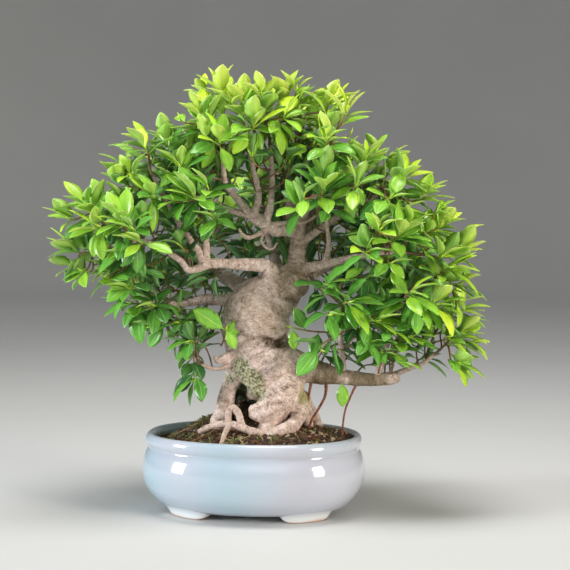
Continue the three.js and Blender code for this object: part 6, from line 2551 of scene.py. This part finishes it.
@dataclass
class Studio:
    """Pale floor that rises all round into a wall, soft lights, and the camera at the photograph's angle."""

    tree: TreeFrame
    aim: Triple = (30.0, 0.0, 228.0)
    distance: float = 1500.0
    camera_height: float = 312.0
    lens: float = 94.9
    sensor_width: float = 36.0
    clip: Pair = (0.05, 50.0)
    roll_degrees: float = 0.5
    flat_rings: tuple[float, ...] = (1.0, 200.0, 600.0, 1600.0)
    floor_radius: float = 3400.0
    sweep_radius: float = 900.0
    wall_top: float = 3200.0
    floor_sectors: int = 96
    lamps_aim: Triple = (10.0, 0.0, 220.0)
    air_colour: str = "#EEF1F4"
    air_light: float = 0.34

    def build(self) -> None:
        """Make floor, lights and camera."""
        self.floor()
        for box in Softbox:
            self.light(box)
        self.camera()
        world = bpy.data.worlds.new("studio")
        world.use_nodes = True
        background = world.node_tree.nodes["Background"]
        background.inputs["Color"].default_value = linear(self.air_colour)
        background.inputs["Strength"].default_value = self.air_light
        bpy.context.scene.world = world
        bpy.context.scene.view_settings.view_transform = "Standard"

    def floor(self) -> None:
        """A surface of revolution: flat, then a quarter circle up into an upright wall."""
        bend = np.linspace(0.0, math.pi / 2, 14)
        radius = np.r_[self.flat_rings, self.floor_radius + self.sweep_radius * np.sin(bend)]
        height = np.r_[np.zeros(len(self.flat_rings)), self.sweep_radius * (1 - np.cos(bend))]
        radius, height = np.r_[radius, radius[-1]], np.r_[height, self.wall_top]
        angles = np.linspace(0.0, 2 * math.pi, self.floor_sectors, endpoint=False)
        x, y = radius[:, None] * np.cos(angles), radius[:, None] * np.sin(angles)
        rings = np.stack(np.broadcast_arrays(x, y, height[:, None]), axis=-1)
        quads, cap, _ = tube_faces(len(radius), self.floor_sectors)
        parts = MeshParts()
        parts.add(rings.reshape(-1, 3), [quads[:, ::-1], cap[:, ::-1]])
        floor = parts.to_object("studio_floor", [STUDIO_PAPER.material()])

    def light(self, box: Softbox) -> None:
        """One rectangular soft light, turned to the middle of the tree.

        Args:
            box: which.
        """
        place, width, height, power, spread, colour = box.value
        data = bpy.data.lights.new(box.name.lower(), "AREA")
        data.shape, data.size, data.size_y, data.energy = "RECTANGLE", width, height, power
        data.color, data.spread = linear(colour)[:3], math.radians(spread)
        lamp = linked(box.name.lower(), data)
        at = self.tree.place(np.array(place) / MM) * MM
        target = self.tree.place(np.array(self.lamps_aim)) * MM
        lamp.location = at
        lamp.rotation_euler = aim_rotation(target - at)

    def camera(self) -> None:
        """The camera, on the tree's front side."""
        data = bpy.data.cameras.new("camera")
        data.sensor_width, data.lens = self.sensor_width, self.lens
        data.clip_start, data.clip_end = self.clip
        camera = linked("camera", data)
        at = self.tree.place(np.array([self.aim[0], -self.distance, self.camera_height])) * MM
        target = self.tree.place(np.array(self.aim)) * MM
        camera.location = at
        camera.rotation_euler = aim_rotation(target - at, self.roll_degrees)
        bpy.context.scene.camera = camera


def aim_rotation(direction: Array, roll_degrees: float = 0.0) -> mathutils.Euler:
    """The turn that points a lamp's or camera's -Z along a direction, with Y up and then rolled.

    Args:
        direction: from the lamp or camera to what it looks at.
        roll_degrees: turn about that line.
    Returns:
        The turn as Euler angles.
    """
    turn = mathutils.Vector(direction).to_track_quat("-Z", "Y")
    roll = mathutils.Quaternion((0.0, 0.0, 1.0), math.radians(roll_degrees))
    return (turn @ roll).to_euler()


def dress_screens() -> list[Object]:
    """Give the two drain screens their material.

    Returns:
        The screens.
    """
    material = MOULDED_MESH.material()
    screens = [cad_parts[name] for name in ("drain_screen_left", "drain_screen_right")]
    for screen in screens:
        screen.data.materials.clear()
        screen.data.materials.append(material)
    return screens


def write_sizes() -> None:
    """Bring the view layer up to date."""
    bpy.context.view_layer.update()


def report(pieces: list[Object]) -> None:
    """Log the name of each piece and how many faces it has."""
    for piece in pieces:
        LOG.info("%s: %d faces", piece.name, len(piece.data.polygons))


def main() -> None:
    """Build everything in order and report each piece."""
    tree = TreeFrame.of_model()
    Studio(tree).build()
    pot = GlazedPot()
    report([pot.build()])
    report(Ground(pot).build())
    report(dress_screens())
    report(Wood(tree).build())
    report(Foliage(tree, FullGrowth(tree)).build())
    write_sizes()


if __name__ == "__main__":
    logging.basicConfig(level=logging.INFO, format="%(name)s: %(message)s")
    main()
